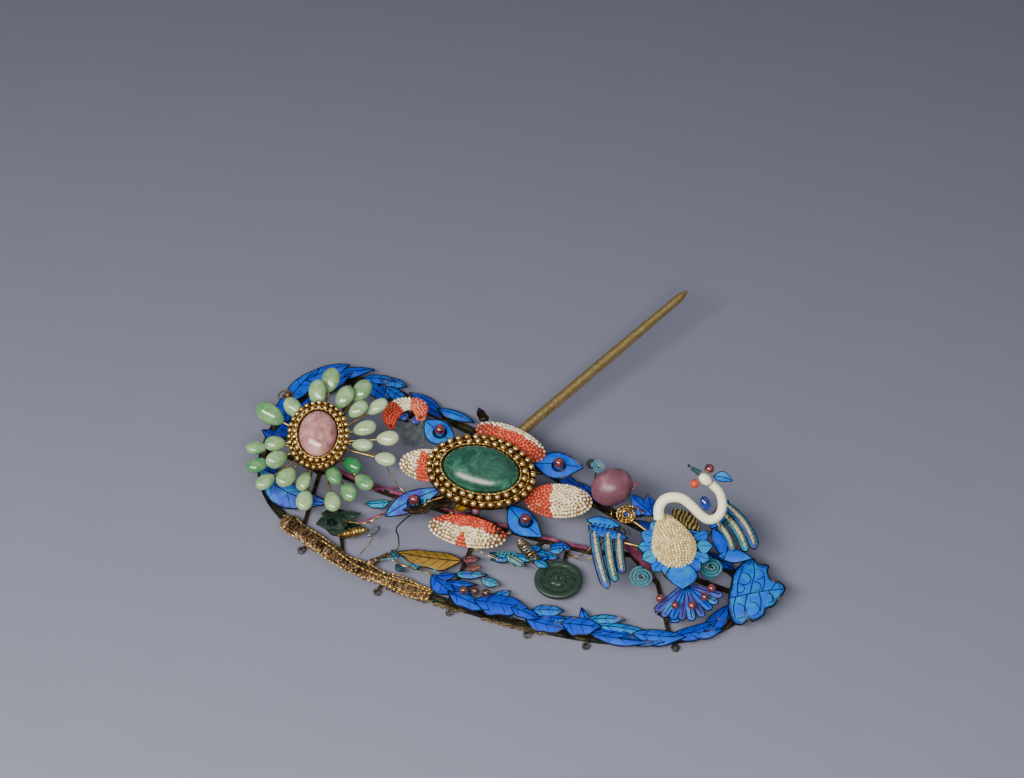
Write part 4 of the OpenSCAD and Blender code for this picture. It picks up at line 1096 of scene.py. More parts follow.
class ORNAMENT_OT_trunk(bpy.types.Operator):
    """Gilt branch with chased bark and twisted wire along both edges"""
    bl_idname = "ornament.trunk"
    bl_label = "Bark branch"

    def execute(self, context):
        sizes = context.scene.ornament_sizes

        def bark_line(t, side=0.0, up=0.0, drop=0.0):
            """Point at place t along the middle of the branch, moved sideways, up and down."""
            return rim_point(1.75 + 2.27 * t, side + 0.9 + 0.3 * sin(15.7 * t),
                             DECK + 1.5 + up - 0.4 * t - drop)

        def half(t):
            return (3.3 - 0.7 * t + 0.3 * sin(22.7 * t)) * min(1, 0.4 + 12 * t)

        branch = self.skin(bark_line, half, lambda t: 1.32 - 0.4 * t, 420, 22, sizes.bark_ridges)
        spur = self.skin(lambda t: Vector((-38 + 5.4 * t, -47.6 + 7.6 * t, DECK + 1)), lambda t: 1.5 - 0.7 * t,
                         lambda t: 0.85, 40, 14, 8)
        edges = []
        # Wires along the bark: first and last place, share of the half width, height, how far and how often
        # each one strays
        for first, last, out, up, stray, often in (
                (0, 1, -0.96, 0.4, 0.3, 19), (0, 1, 0.96, 0.4, 0.35, 16), (0.3, 1, -0.2, 1.25, 0.9, 12),
                (0.6, 1, 0.4, 1.0, 1.3, 17), (0.7, 1, -1.15, 0.1, 1.1, 21)):
            line = []
            for k in range(91):
                t = first + (last - first) * k / 90
                side = out * half(t) + stray * sin(often * t)
                line.append(bark_line(t, side, up, 0.06 * side * side * (abs(out) < 0.9)))
            edges += strands(line, sizes.rope_r * 0.6, sizes.rope_pitch * 0.6)
        join("bark_branch", [single(branch), single(spur), single(wire(edges, sizes.rope_r * 0.75), 1)],
             [chased_bark(), fire_gilt()], nodes=("trunk",))
        return {"FINISHED"}

    def skin(self, centre, half, thick, along, around, ridges):
        """Closed tube of bark round a middle line, with a woven relief and broad knots."""
        bm = bmesh.new()
        uv = bm.loops.layers.uv.new("UVMap")
        height = bm.verts.layers.float.new("height")
        bmesh.ops.create_grid(bm, x_segments=along, y_segments=around, size=1)
        up = Vector((0, 0, 1))
        flat = {}
        for v in bm.verts:
            t, u = v.co.x / 2 + 0.5, v.co.y / 2 + 0.5
            a = 2 * pi * u
            c = centre(t)
            d = (centre(min(1, t + 0.01)) - centre(max(0, t - 0.01))).normalized()
            side = up.cross(d).normalized()
            at = Vector((ridges * t, 1.6 * cos(a), 1.6 * sin(a)))
            weave = noise.noise(at * 1.5) + 0.6 * noise.noise(at * Vector((3.6, 3.2, 3.2)))
            knot = noise.noise(at * 0.22)
            lift = 0.34 * weave
            flat[v.index] = (t * 150, u * 20)
            # The tone is lower where the bark sinks: painted shade in its hollows
            v[height] = 0.7 * weave + 0.3 * knot
            w, h = half(t) * (1 + 0.3 * knot) + lift, thick(t) * (1 + 0.3 * knot) + lift
            v.co = c + side * (w * cos(a)) + up * (h * sin(a))
        set_uvs(bm, uv, lambda v: flat[v.index])
        bmesh.ops.remove_doubles(bm, verts=bm.verts, dist=1e-4)
        bmesh.ops.holes_fill(bm, edges=[e for e in bm.edges if e.is_boundary], sides=0)
        bmesh.ops.recalc_face_normals(bm, faces=bm.faces)
        return shape(bm)


class ORNAMENT_OT_border_leaves(bpy.types.Operator):
    """Feather leaves all along the border, each with its wires"""
    bl_idname = "ornament.border_leaves"
    bl_label = "Border leaves"

    def execute(self, context):
        for name, node, rows, tones in (
                ("arch_leaves", "leaves_arch", ARCH, [0.42, 0.5, 0.46, 0.4, 0.3, 0.34, 0.62, 0.15, 0.12]),
                ("left_leaf", "leaf_left", LEFT, [0.9, 0.2]),
                ("ruffled_leaves", "leaves_ruffled", RUFFLED, [0.52, 0.6, 0.45, 0.55, 0.4]),
                ("lance_leaves", "leaves_lance", LANCES, [0.36, 0.28, 0.55]),
                ("front_leaves", "leaves_front", FRONT, [0.3, 0.85, 0.32, 0.8, 0.24, 0.46, 0.34, 0.6]),
                ("front_right_leaves", "leaves_front_right", FRONT_RIGHT,
                 [0.6, 0.4, 0.34, 0.62, 0.42, 0.48, 0.68, 0.66, 0.44, 0.36, 0.52, 0.4, 0.36, 0.46, 0.3]),
                ("back_leaves", "leaves_back", BACK, [0.3, 0.24, 0.36, 0.2, 0.3, 0.22]),
                ("middle_twigs", "twigs", TWIGS, [0.6, 0.5, 0.7, 0.66])):
            feather_leaves(name, rows, DECK, tones, nodes=(node,), veins=0 if rows is LANCES else 3)
        return {"FINISHED"}


class ORNAMENT_OT_end_leaf(bpy.types.Operator):
    """Lobed feather leaf at the right end, with raised scales and veins"""
    bl_idname = "ornament.end_leaf"
    bl_label = "End leaf"

    def execute(self, context):
        outline = smooth([(*p, 0.0) for p in END_LEAF], 3, closed=True)

        def top(x, y, up=0.0):
            """Point on the vaulted top of the leaf, or a little above it."""
            return Vector((x, y, LEAF_T + 1.9 * (1 - (y / 15.5) ** 2) + up))

        # The outline is seen whole from the heart, so rings of it shrink towards that point
        heart = Vector((-2, 0, 0))
        bm = bmesh.new()
        uv = bm.loops.layers.uv.new("UVMap")
        edge = bm.verts.layers.float.new("edge")
        bmesh.ops.create_grid(bm, x_segments=len(outline), y_segments=7, size=1)
        for v in bm.verts:
            around, out = (v.co.x + 1) / 2 * len(outline), (v.co.y + 1) / 2
            v[edge] = out
            v.co = top(*heart.lerp(Vector(outline[round(around) % len(outline)]), out).xy)
        bmesh.ops.remove_doubles(bm, verts=bm.verts, dist=1e-4)
        set_uvs(bm, uv, lambda v: v.co.xy)
        thicken(bm, 0.6)
        veins = [
            [(-9.8, -2.4), (-5, -1.2), (0, 0), (5, 0.8), (9, 1.2)],
            [(-7, -1.8), (-6.8, 3), (-5.6, 7.4), (-4.4, 11)], [(-2.6, -0.6), (-1.6, 4), (-0.6, 8), (-0.8, 13)],
            [(1.4, 0.2), (2.4, 3), (2.8, 6.6)], [(4.4, 0.7), (5.6, 2.4), (6.6, 3.8)],
            [(-7.6, -1.9), (-8.6, -6), (-8.2, -10)], [(-3.6, -0.9), (-4.6, -5), (-5, -10)],
            [(0.4, 0.1), (1, -3.6), (0.6, -7.6)], [(3.8, 0.6), (4.8, -1.6), (5.2, -3.8)],
        ]
        veins = [[top(p[0], p[1], 0.05) for p in smooth([(*q, 0.0) for q in vein], 4)] for vein in veins]
        # Curved rims of the scales: x, y, radius
        scales = [(-7, -7.4, 2.7), (-2.4, -6.6, 2.7), (-4.6, 5.6, 2.6), (0.4, 7.6, 2.2), (-6.4, 1.6, 1.9),
                  (3.6, -2.4, 1.8), (-0.6, 2.4, 1.9)]
        angles = [pi * (-0.55 + 1.1 * k / 12) for k in range(13)]
        arcs = [[top(x + r * cos(a), y + r * sin(a), 0.05) for a in angles] for x, y, r in scales]
        rim = [top(p[0], p[1]) for p in outline]
        parts = [single(shape(bm), 0, 0.6), single(wire([rim], 0.3, closed=True), 1),
                 single(wire(veins, 0.17), 1), single(wire(arcs, 0.14), 1)]
        join("end_leaf_feathers", parts, [kingfisher_feather(), old_gilt()], END, ("end_leaf",))
        return {"FINISHED"}


class ORNAMENT_OT_chrysanthemum(bpy.types.Operator):
    """Rose quartz cabochon, its beaded setting and the ring of jade drops"""
    bl_idname = "ornament.chrysanthemum"
    bl_label = "Chrysanthemum"

    def execute(self, context):
        dress(rose_quartz(), "rose_stone")
        # The setting under the beads is painted brown: the shadow in the gaps between them
        dress(gap_shadow_gilt(), "rose_setting")
        dress(fire_gilt(), "petal_wires")
        rng = random.Random(7)
        inner_tones = {0: 0.55, 1: 0.5, 2: 0.45, 6: 0.02, 7: 0.3, 4: 0.62, 5: 0.7, 3: 0.6}
        for circle, rows, z in (("inner", PETALS_INNER, INNER_Z), ("outer", PETALS_OUTER, OUTER_Z)):
            places, tones = [], []
            for k, (angle, far, length) in enumerate(rows):
                wide = length * 0.8 * rng.uniform(0.92, 1.06)
                places.append(turned(angle) @ Matrix.Translation((far - length / 2, 0, z)) @ turned(-8, "Y")
                              @ Matrix.Rotation(rng.uniform(-0.5, 0.5), 4, "X")
                              @ Matrix.Diagonal((length * 1.04, wide, length * 0.56, 1)))
                if circle == "inner":
                    tones.append(inner_tones.get(k, 0.45))
                else:
                    # The petals on the far right are the palest
                    tones.append(0.78 if -20 < angle < 40 else rng.uniform(0.25, 0.6))
            join(circle + "_jade_petals", [(drop_shape(), places, 0, tones)], [pale_jade()], ROSE,
                 ("jade_petals_" + circle,))
        # The stone's half axes are 8.9 and 6.9 mm and its long side runs to the back
        gilt_beads("rose_setting_beads", 8.9, 6.9, 0.9, (26, 31), turned(90), ROSE)
        return {"FINISHED"}


class ORNAMENT_OT_stone_flower(bpy.types.Operator):
    """Green cabochon, its beaded setting, four strung petals and the feather eyes between them"""
    bl_idname = "ornament.stone_flower"
    bl_label = "Four petal flower"

    def execute(self, context):
        sizes = context.scene.ornament_sizes
        dress(marbled_jade(), "green_stone")
        # The setting under the beads is painted brown: the shadow in the gaps between them
        dress(gap_shadow_gilt(), "green_setting")
        dress(garnet(), "eye_garnets")
        # Where each petal has pearls; x and y run from -1 to 1 over it
        petals = {
            "petal_back": lambda x, y: y > 0.5 - 0.3 * x * x,
            "petal_right": lambda x, y: x > -0.24 + 0.1 * y * y,
            "petal_front": lambda x, y: y < 0.06 - 0.12 * x and not abs(x + 0.08) < -0.25 * (y + 0.3),
            "petal_left": lambda x, y: x < -0.35 or y > 0.55 - 0.6 * x,
        }
        for seed, (name, pearl_at) in enumerate(petals.items(), 11):
            strung_petal(name, pearl_at, seed, sizes.seed_r)
        for k, (row, tone) in enumerate(zip(EYES, (0.58, 0.5, 0.55, 0.9)), 1):
            x0, y0, x1, y1, width = row[:5]
            middle = Vector(((x0 + x1) / 2, (y0 + y1) / 2, EYE_Z + LEAF_T + 0.08 * width))
            extra = [single(wire([[middle + p for p in ring(r, r, up, 24)]], thick, closed=True), 1)
                     for r, up, thick in ((2.0, 0.25, 0.3), (2.5, 0.02, 0.2))]
            feather_leaves(f"feather_eye_{k}_barbs", [row], EYE_Z, [tone], GREEN, (f"feather_eye_{k}",),
                           vault=0.08, veins=0, extra=extra)
        gilt_beads("green_setting_beads", 13.8, 9.4, 1.15, (27, 33), turned(-14), GREEN)
        return {"FINISHED"}


class ORNAMENT_OT_bud(bpy.types.Operator):
    """Curled bud strung with coral, cream and pink beads"""
    bl_idname = "ornament.bud"
    bl_label = "Coral bud"

    def execute(self, context):
        rng = random.Random(21)
        rows = smooth(BUD, 8)
        # Height of the middle line, half height of the bud and radius of its beads
        z, h, r = 8.2, 2.2, 0.62
        lengths = [0.0]
        for a, b in zip(rows, rows[1:]):
            lengths.append(lengths[-1] + math.hypot(b[0] - a[0], b[1] - a[1]))

        def at(far):
            """x, y and half width at that distance along the bud."""
            return [float(np.interp(far, lengths, [row[j] for row in rows])) for j in range(3)]

        places, tones = ([], []), ([], [])
        core, fat = [], []
        count = int(lengths[-1] / (r * 1.72))
        for k in range(count + 1):
            far = lengths[-1] * k / count
            x, y, w = at(far)
            ahead, behind = at(far + 0.3), at(far - 0.3)
            along = Vector((ahead[0] - behind[0], ahead[1] - behind[1], 0)).normalized()
            side = Vector((-along.y, along.x, 0))
            core.append((x, y, 0.0))
            fat.append(max(0.4, w - r))
            wide, tall = max(0.3, w - r), h - r
            share = far / lengths[-1]
            kind = int(0.42 < share < 0.62)
            around = max(5, int(pi * (wide + tall) * 1.06 / (r * 1.9)))
            for i in range(around):
                a = 2 * pi * (i + 0.5 * (k % 2)) / around
                p = Vector((x, y, z)) + side * (wide * cos(a)) + Vector((0, 0, tall * sin(a)))
                n = side * cos(a) / wide + Vector((0, 0, sin(a) / tall))
                tones[kind].append(rng.uniform(0.2, 0.7) if share < 0.42 else rng.uniform(0.75, 1.0))
                places[kind].append(upright(p, n, r * rng.uniform(0.88, 1.04)))
        flat = [Matrix.Translation((0, 0, z)) @ Matrix.Diagonal((1, 1, (h - r) / 2.7, 1))]
        parts = [(wire([core], 1.0, 12, radii=fat), flat, 2, 0.5), (ball(), places[0], 0, tones[0]),
                 (ball(), places[1], 1, tones[1])]
        join("strung_coral_bud", parts,
             [coral_bead(), seed_pearl(), padding("brown_cotton_pad", "#8A4A30", "#5A2C1C")],
             nodes=("coral_bud",))
        return {"FINISHED"}


class ORNAMENT_OT_carvings(bpy.types.Operator):
    """Carved jade leaf and disc, amber leaf, coiled bud, silk stems and loose stones"""
    bl_idname = "ornament.carvings"
    bl_label = "Carvings and stems"

    def execute(self, context):
        dress(brown_bead(), "front_garnets")
        dress(pink_stone(), "pink_bead")
        feather_leaves("carved_jade_leaf", [(-61.6, -37, -49, -26.6, 9, 0, 3)], DECK, [0.45],
                       nodes=("jade_leaf",), finish=dark_jade(),
                       wire_finish=dark_jade(), veins=4)
        feather_leaves("carved_amber_leaf", [(-6.4, -34.4, -29.8, -38.8, 9.6, 0.8, 2)], DECK, [0.7],
                       nodes=("amber_leaf",), finish=carved_amber(), wire_finish=old_gilt(),
                       veins=5, rim_r=0.24, rib_r=0.2)
        self.disc()
        self.coil()
        self.stems()
        return {"FINISHED"}

    def disc(self):
        """Round jade disc: a spun profile with carved curls."""
        bm = bmesh.new()
        height = bm.verts.layers.float.new("height")
        # Radius and height of the profile, from the middle below to the middle above
        profile = [(0, 0), (8, 0), (8.4, 0.5), (8.4, 1.6), (7.8, 2), (6.8, 2), (6.2, 1.65), (3, 1.6), (2.4, 2),
                   (0, 2.05)]
        fine = []
        for a, b in zip(profile, profile[1:]):
            steps = max(1, int(math.hypot(b[0] - a[0], b[1] - a[1]) / 0.25))
            fine += [(a[0] + (b[0] - a[0]) * k / steps, a[1] + (b[1] - a[1]) * k / steps)
                     for k in range(steps)]
        verts = [bm.verts.new((r, 0, z)) for r, z in fine + profile[-1:]]
        edges = [bm.edges.new(pair) for pair in zip(verts, verts[1:])]
        bmesh.ops.spin(bm, geom=verts + edges, cent=(0, 0, 0), axis=(0, 0, 1), angle=2 * pi, steps=96,
                       use_merge=True)
        bmesh.ops.remove_doubles(bm, verts=bm.verts, dist=1e-4)
        bmesh.ops.recalc_face_normals(bm, faces=bm.faces)
        for v in bm.verts:
            if v.co.z > 1.5:
                r, a = math.hypot(v.co.x, v.co.y), math.atan2(v.co.y, v.co.x)
                cut = sin(5 * a + 1.6 * r) * sin(1.3 * r + 0.6)
                line = max(0.0, abs(cut) - 0.55) * 2.2
                v.co.z -= 0.28 * line if r < 6.6 else 0.0
                # The tone is lowered in the carved lines: painted shade
                v[height] = 0.25 * (0.4 - line) if r < 6.6 else 0.15
        place = [Matrix.Translation((27.6, -29.6, DECK))]
        join("carved_jade_disc", [(shape(bm), place, 0, 0.4)], [dark_jade()], nodes=("jade_disc",))

    def coil(self):
        """Bud of close-wound gilt wire."""
        place = Matrix.Translation((-52.4, -39, DECK + 1.8)) @ turned(37) @ turned(90, "Y")
        turns, length = 17, 10.6
        path = []
        for k in range(turns * 16 + 1):
            t = k / (turns * 16)
            r = 0.3 + 1.25 * sin(pi * t) ** 0.8
            a = 2 * pi * turns * t
            path.append((r * cos(a), r * sin(a), 0.2 + length * t))
        core = [(0, 0, 0.2 + length * k / 12) for k in range(13)]
        fat = [0.25 + 1.15 * sin(pi * k / 12) for k in range(13)]
        parts = [(wire([path], 0.3), [place], 0, 0.5), (wire([core], 1.0, 12, radii=fat), [place], 1, 0.5)]
        join("wound_wire_bud", parts, [fire_gilt(), old_gilt()], nodes=("coiled_bud",))

    def stems(self):
        """Wire stems wound with silk."""
        # The stems lie 0.2 mm above the plate and are 0.8 mm in radius
        z = PLATE_T + 0.2 + 0.8
        paths, cores = [], []
        for x0, y0, x1, y1 in ((-68, -9.4, -46, -11.9), (-43.6, -12, 9, -12.95), (14, -12.9, 32, -12.05),
                               (48.6, -9, 58.6, -16)):
            ends = [Vector((x0, y0, z)), Vector((x1, y1, z))]
            length = (ends[1] - ends[0]).length
            side = Vector((y0 - y1, x1 - x0, 0)).normalized()
            line = [ends[0].lerp(ends[1], k / 40) + side * (0.25 * sin(0.45 * length * k / 40))
                    for k in range(41)]
            paths += strands(line, 0.36, 3.2, 3)
            cores.append(line)
        join("silk_wound_stems", [single(wire(paths, 0.4, 8)), single(wire(cores, 0.3))], [wound_silk()],
             nodes=("silk_stems",))


class ORNAMENT_OT_crane(bpy.types.Operator):
    """Crane: pearl-strung body, wound neck, head, feathers, wings, tail and coils of wire"""
    bl_idname = "ornament.crane"
    bl_label = "Crane"

    def execute(self, context):
        self.sizes = context.scene.ornament_sizes
        self.body()
        self.plumage()
        self.feathers()
        self.neck()
        self.coils()
        dress(garnet(), "tail_garnets", "head_garnet")
        dress(deep_blue_glass(), "neck_drop")
        # Springs on the wings: first and last point, radius, turns
        springs = [((-29.4, 10.6, -2.9), (-14.6, 7.4, -2.9), 1.2, 9),
                   ((-29, 7.6, -2.6), (-17, 5, -2.6), 1.0, 7), ((16.6, 9.6, -2.8), (22, 14.4, -2.8), 1.0, 5)]
        join("wing_springs", [single(wire([spring(*row)], 0.17), k % 2, 0.3) for k, row in enumerate(springs)],
             [old_gilt(), teal_strip()], CRANE)
        return {"FINISHED"}

    def body(self):
        """Pearls in slanting rows over the padded body."""
        r = self.sizes.body_r
        # Half width and height up to the middles of the pearls
        b, h = 8 - r, 6 - r
        place = turned(104)
        neck = place.inverted() @ CRANE.inverted() @ NECK_FRAME @ Vector((-0.3, 0, 0))

        def egg(angle):
            """Place along the body and share of its full width; the narrow end runs under the neck.

            The body is 9.9 mm long before its widest place and 13.6 mm behind it.
            """
            along = -cos(angle) * ((9.9 if angle < pi / 2 else 13.6) - r)
            return along, sin(angle) * (1 - 0.03 * max(0, along))

        def arc(points):
            return np.concatenate([[0], np.cumsum(np.linalg.norm(np.diff(np.array(points), axis=0), axis=1))])

        rng = random.Random(31)
        places, tones = [], []
        fine = np.linspace(0, pi, 400)
        crest = arc([(egg(a)[0], h * egg(a)[1]) for a in fine])
        rows = int(crest[-1] / (r * 1.74))
        for i in range(rows + 1):
            x, share = egg(float(np.interp(crest[-1] * (i + 0.5) / (rows + 1), crest, fine)))
            side = arc([(b * share * cos(u), h * share * sin(u)) for u in fine])
            count = max(1, int(round(side[-1] / (r * 2.0))))
            for k in range(count + i % 2):
                u = float(np.interp(min(side[-1] * (k + 0.5 * ((i + 1) % 2)) / count, side[-1]), side, fine))
                p = Vector((x, b * share * cos(u), max(0.1, h * share * sin(u))))
                if (p - neck).length > 2.5:
                    normal = (p.x / 130, p.y / b ** 2, p.z / h ** 2)
                    places.append(place @ upright(p, normal, r * rng.uniform(0.95, 1.04), 0.95))
                    tones.append(0.3 + 0.65 * rng.random())
        pad = dome_shape(1, 1, 1)
        for v in pad.vertices:
            along, share = egg(math.acos(max(-1, min(1, -v.co.x))))
            wide = math.sqrt(max(1e-6, 1 - v.co.x ** 2))
            v.co = (along, v.co.y / wide * share * b, v.co.z / wide * share * h)
        parts = [(pad, [place], 1, 0.5), (ball(), places, 0, tones)]
        join("pearl_body", parts, [body_pearl(), padding("cream_cotton_pad", "#9C8A60", "#6C5A38")], CRANE,
             ("crane_body",))

    def plumage(self):
        """Scalloped feathers round the body, a pointed one below it, and the wires that carry the rest."""
        parts, rims, ribs = [], [], []
        scallops = 14
        for k in range(scallops):
            angle = radians(90 + 360 / scallops * (k + 0.5))
            d = Vector((cos(angle), sin(angle)))
            start, end = 7.2 * d, 13.0 * d
            row = (0.6 + start.x, start.y, 0.6 + end.x, end.y, 6.2, 0, 0)
            sheet, point = leaf_sheet(row, 0.1, 0.35, (10, 6))
            place = leaf_place(row, -1.2 - 0.25 * (k % 2)) @ turned(4, "Y")
            parts.append((sheet, [place], 0, 0.66 + 0.1 * sin(2.1 * k)))
            rims.append(leaf_rim(place, point, 16))
            ribs.append([place @ point(0.3 + 0.6 * i / 5, 0, 0.05) for i in range(6)])
        # The pointed feather
        row = (2.6, -7, 2.4, -18.4, 11, 0, 0)
        sheet, point = leaf_sheet(row, 0.08, 0.4, (14, 8))
        place = leaf_place(row, -0.9)
        parts.append((sheet, [place], 0, 0.62))
        rims.append(leaf_rim(place, point))
        # Ends of the arms, in the crane's frame
        ends = [(-22, 6, -5.2), (17, 11, -5.2), (4, -17, -5.2), (-15.9, 13.3, -1.9), (-11, 19, -3.7),
                (-11, -9.1, -7.2), (13.5, -5, -7.2)]
        arms = [[(0, 0, p[2]), (p[0] * 0.5, p[1] * 0.5, p[2] - 0.1), p] for p in ends]
        parts += [single(wire(rims, 0.16, closed=True), 1), single(wire(ribs, 0.12, 4), 1),
                  single(wire(arms, 0.5, 8), 2), single(wire([[(0, 0, -1.3), (0, 0, -7.6)]], 1.3, 12), 2)]
        join("crane_plumage_feathers", parts, [kingfisher_feather(), old_gilt(), fire_gilt()], CRANE)
        top = LAYOUT.inverted() @ (CRANE @ Vector((0, 0, -1.2)))
        post = wire([[(top.x, top.y, DECK), (top.x, top.y, top.z)]], 1.5, 16)
        disc = wire([[(top.x, top.y, DECK), (top.x, top.y, DECK + 0.8)]], 3.0, 20)
        join("crane_post", [single(post), single(disc)], [fire_gilt()], nodes=("crane_plumage",))

    def feathers(self):
        """Shoulder, wings and tail."""
        feather_leaves("crane_shoulder_feathers", SHOULDER, -3, [0.3, 0.2, 0.5], CRANE, ("crane_shoulder",))
        for side, bars, tops in (("left", WING_LEFT_BARS, WING_LEFT_TOP),
                                 ("right", WING_RIGHT_BARS, WING_RIGHT_TOP)):
            rows, extra = strips(bars), []
            for row in rows:
                point = leaf_sheet(row)[1]
                place = leaf_place(row, WING_Z)
                middle = [place @ point(0.07 + 0.84 * i / 16, 0, 0.15) for i in range(17)]
                fat = [0.55 + 0.45 * sin(pi * (0.08 + 0.84 * i / 16)) for i in range(17)]
                lines = [[place @ point(0.05 + 0.9 * i / 20, edge, 0.12) for i in range(21)]
                         for edge in (-0.66, 0.66)]
                extra += [single(wire([middle], 0.72, 8, radii=fat), 3, 0.14),
                          single(wire(strands(middle, 0.68, 1.6, 1), 0.12, 4), 2),
                          single(wire(lines, 0.24), 4, 0.4)]
            feather_leaves(side + "_wing_feathers", rows + tops, WING_Z, [0.95, 0.8, 0.98, 0.5, 0.6, 0.4],
                           CRANE, ("crane_wing_" + side,), extra=extra, veins=0, rib_r=0)
        feather_leaves("tail_feathers", strips(TAIL), WING_Z,
                       [0.98, 0.92, 0.5, 1.0, 0.9, 0.95, 0.5, 0.94, 0.98], CRANE, ("crane_tail",), veins=0,
                       rim_r=0.18)
        crest = NECK_FRAME @ Matrix.Translation((18.3, 13.95, -0.6)) @ turned(-13)
        feather_leaves("crest_feather", [(0, 0, 7, 0, 3.6, 0.6, 0)], 0, [0.62], crest, ("crane_crest",),
                       veins=0, rim_r=0.16)
        dress(chased_collar(), "crane_collar")

    def neck(self):
        """Neck wound with thread, ring by ring, and the head with its cheek and beak."""
        step = 0.15
        line = evenly(smooth([(x, y, 0.0) for x, y in NECK], 10), step)
        groove = [abs(sin(pi * step * i / self.sizes.thread_turn)) ** 0.5 for i in range(len(line))]
        fat = [(1.9 - 0.4 * i / (len(line) - 1)) * (0.95 + 0.05 * deep) for i, deep in enumerate(groove)]
        mesh = wire([line], 1.0, 24, radii=fat)
        around = len(mesh.vertices) // len(line)
        # Painted shade: the tone is lowered in the grooves between the turns
        shade = mesh.attributes.new("height", "FLOAT", "POINT")
        for i, item in enumerate(shade.data):
            item.value = 0.4 * (groove[min(len(line) - 1, i // around)] - 1)
        join("thread_wound_neck", [single(mesh, 0, 0.78)], [ivory_thread()], NECK_FRAME, ("crane_neck",),
             sharp=80)
        head = Matrix.Translation((15.6, 12.8, 0)) @ turned(140) @ Matrix.Diagonal((2.6, 1.9, 1.9, 1))
        join("silk_head", [(ball(24, 16), [head], 0, 0.7)], [ivory_thread()], NECK_FRAME, ("crane_head",))
        cheek = Matrix.Translation((11.9, 11.25, 0)) @ Matrix.Scale(1.6, 4)
        join("coral_cheek", [(ball(20, 14), [cheek], 0, 0.5)], [coral_bead()], NECK_FRAME, ("head_coral",))
        start, end = Vector((13.6, 15, 0)), Vector((9.83, 17.64, 0))
        fat = [1.2 - 0.125 * k for k in range(9)]
        beak = wire([[start.lerp(end, k / 8) for k in range(9)]], 1.0, 16, radii=fat)
        lines = [[start.lerp(end, k / 8) + Vector((0.2 * side, 0.3 * side, 1.25 - 0.12 * k)) for k in range(7)]
                 for side in (-1.6, 0, 1.6)]
        tip = Matrix.Translation(end) @ Matrix.Scale(0.5, 4)
        join("beak_sheet", [single(beak, 0, 0.25), single(wire(lines, 0.14), 1), (ball(), [tip], 1, 0.5)],
             [teal_strip(), old_gilt()], NECK_FRAME, ("crane_beak",))

    def coils(self):
        """Flat coils of twisted wire."""
        for colour, at, far, finish, slot in (
                ("gold", (-15.9, 13.3, -0.7), 3.6, fire_gilt(), "gilt"),
                ("blue", (-11, -9.1, -6), 4.2, teal_strip(), "enamel_blue"),
                ("green", (13.5, -5, -6), 4.2, teal_strip(), "enamel_blue")):
            path = []
            for k in range(73):
                a, r = 2 * pi * k / 24 - pi / 2, 0.7 + (far - 0.7) * k / 72
                path.append((at[0] + r * cos(a), at[1] - r * sin(a), at[2]))
            if colour == "gold":
                path += [(at[0] + x, at[1] + y, at[2]) for x, y in ((2, 3.6), (4, 2.6), (6, 0.8))]
            join(colour + "_coil", [single(wire(strands(path, 0.24, 1.6), 0.24))], [finish], CRANE,
                 ("spiral_" + colour,))


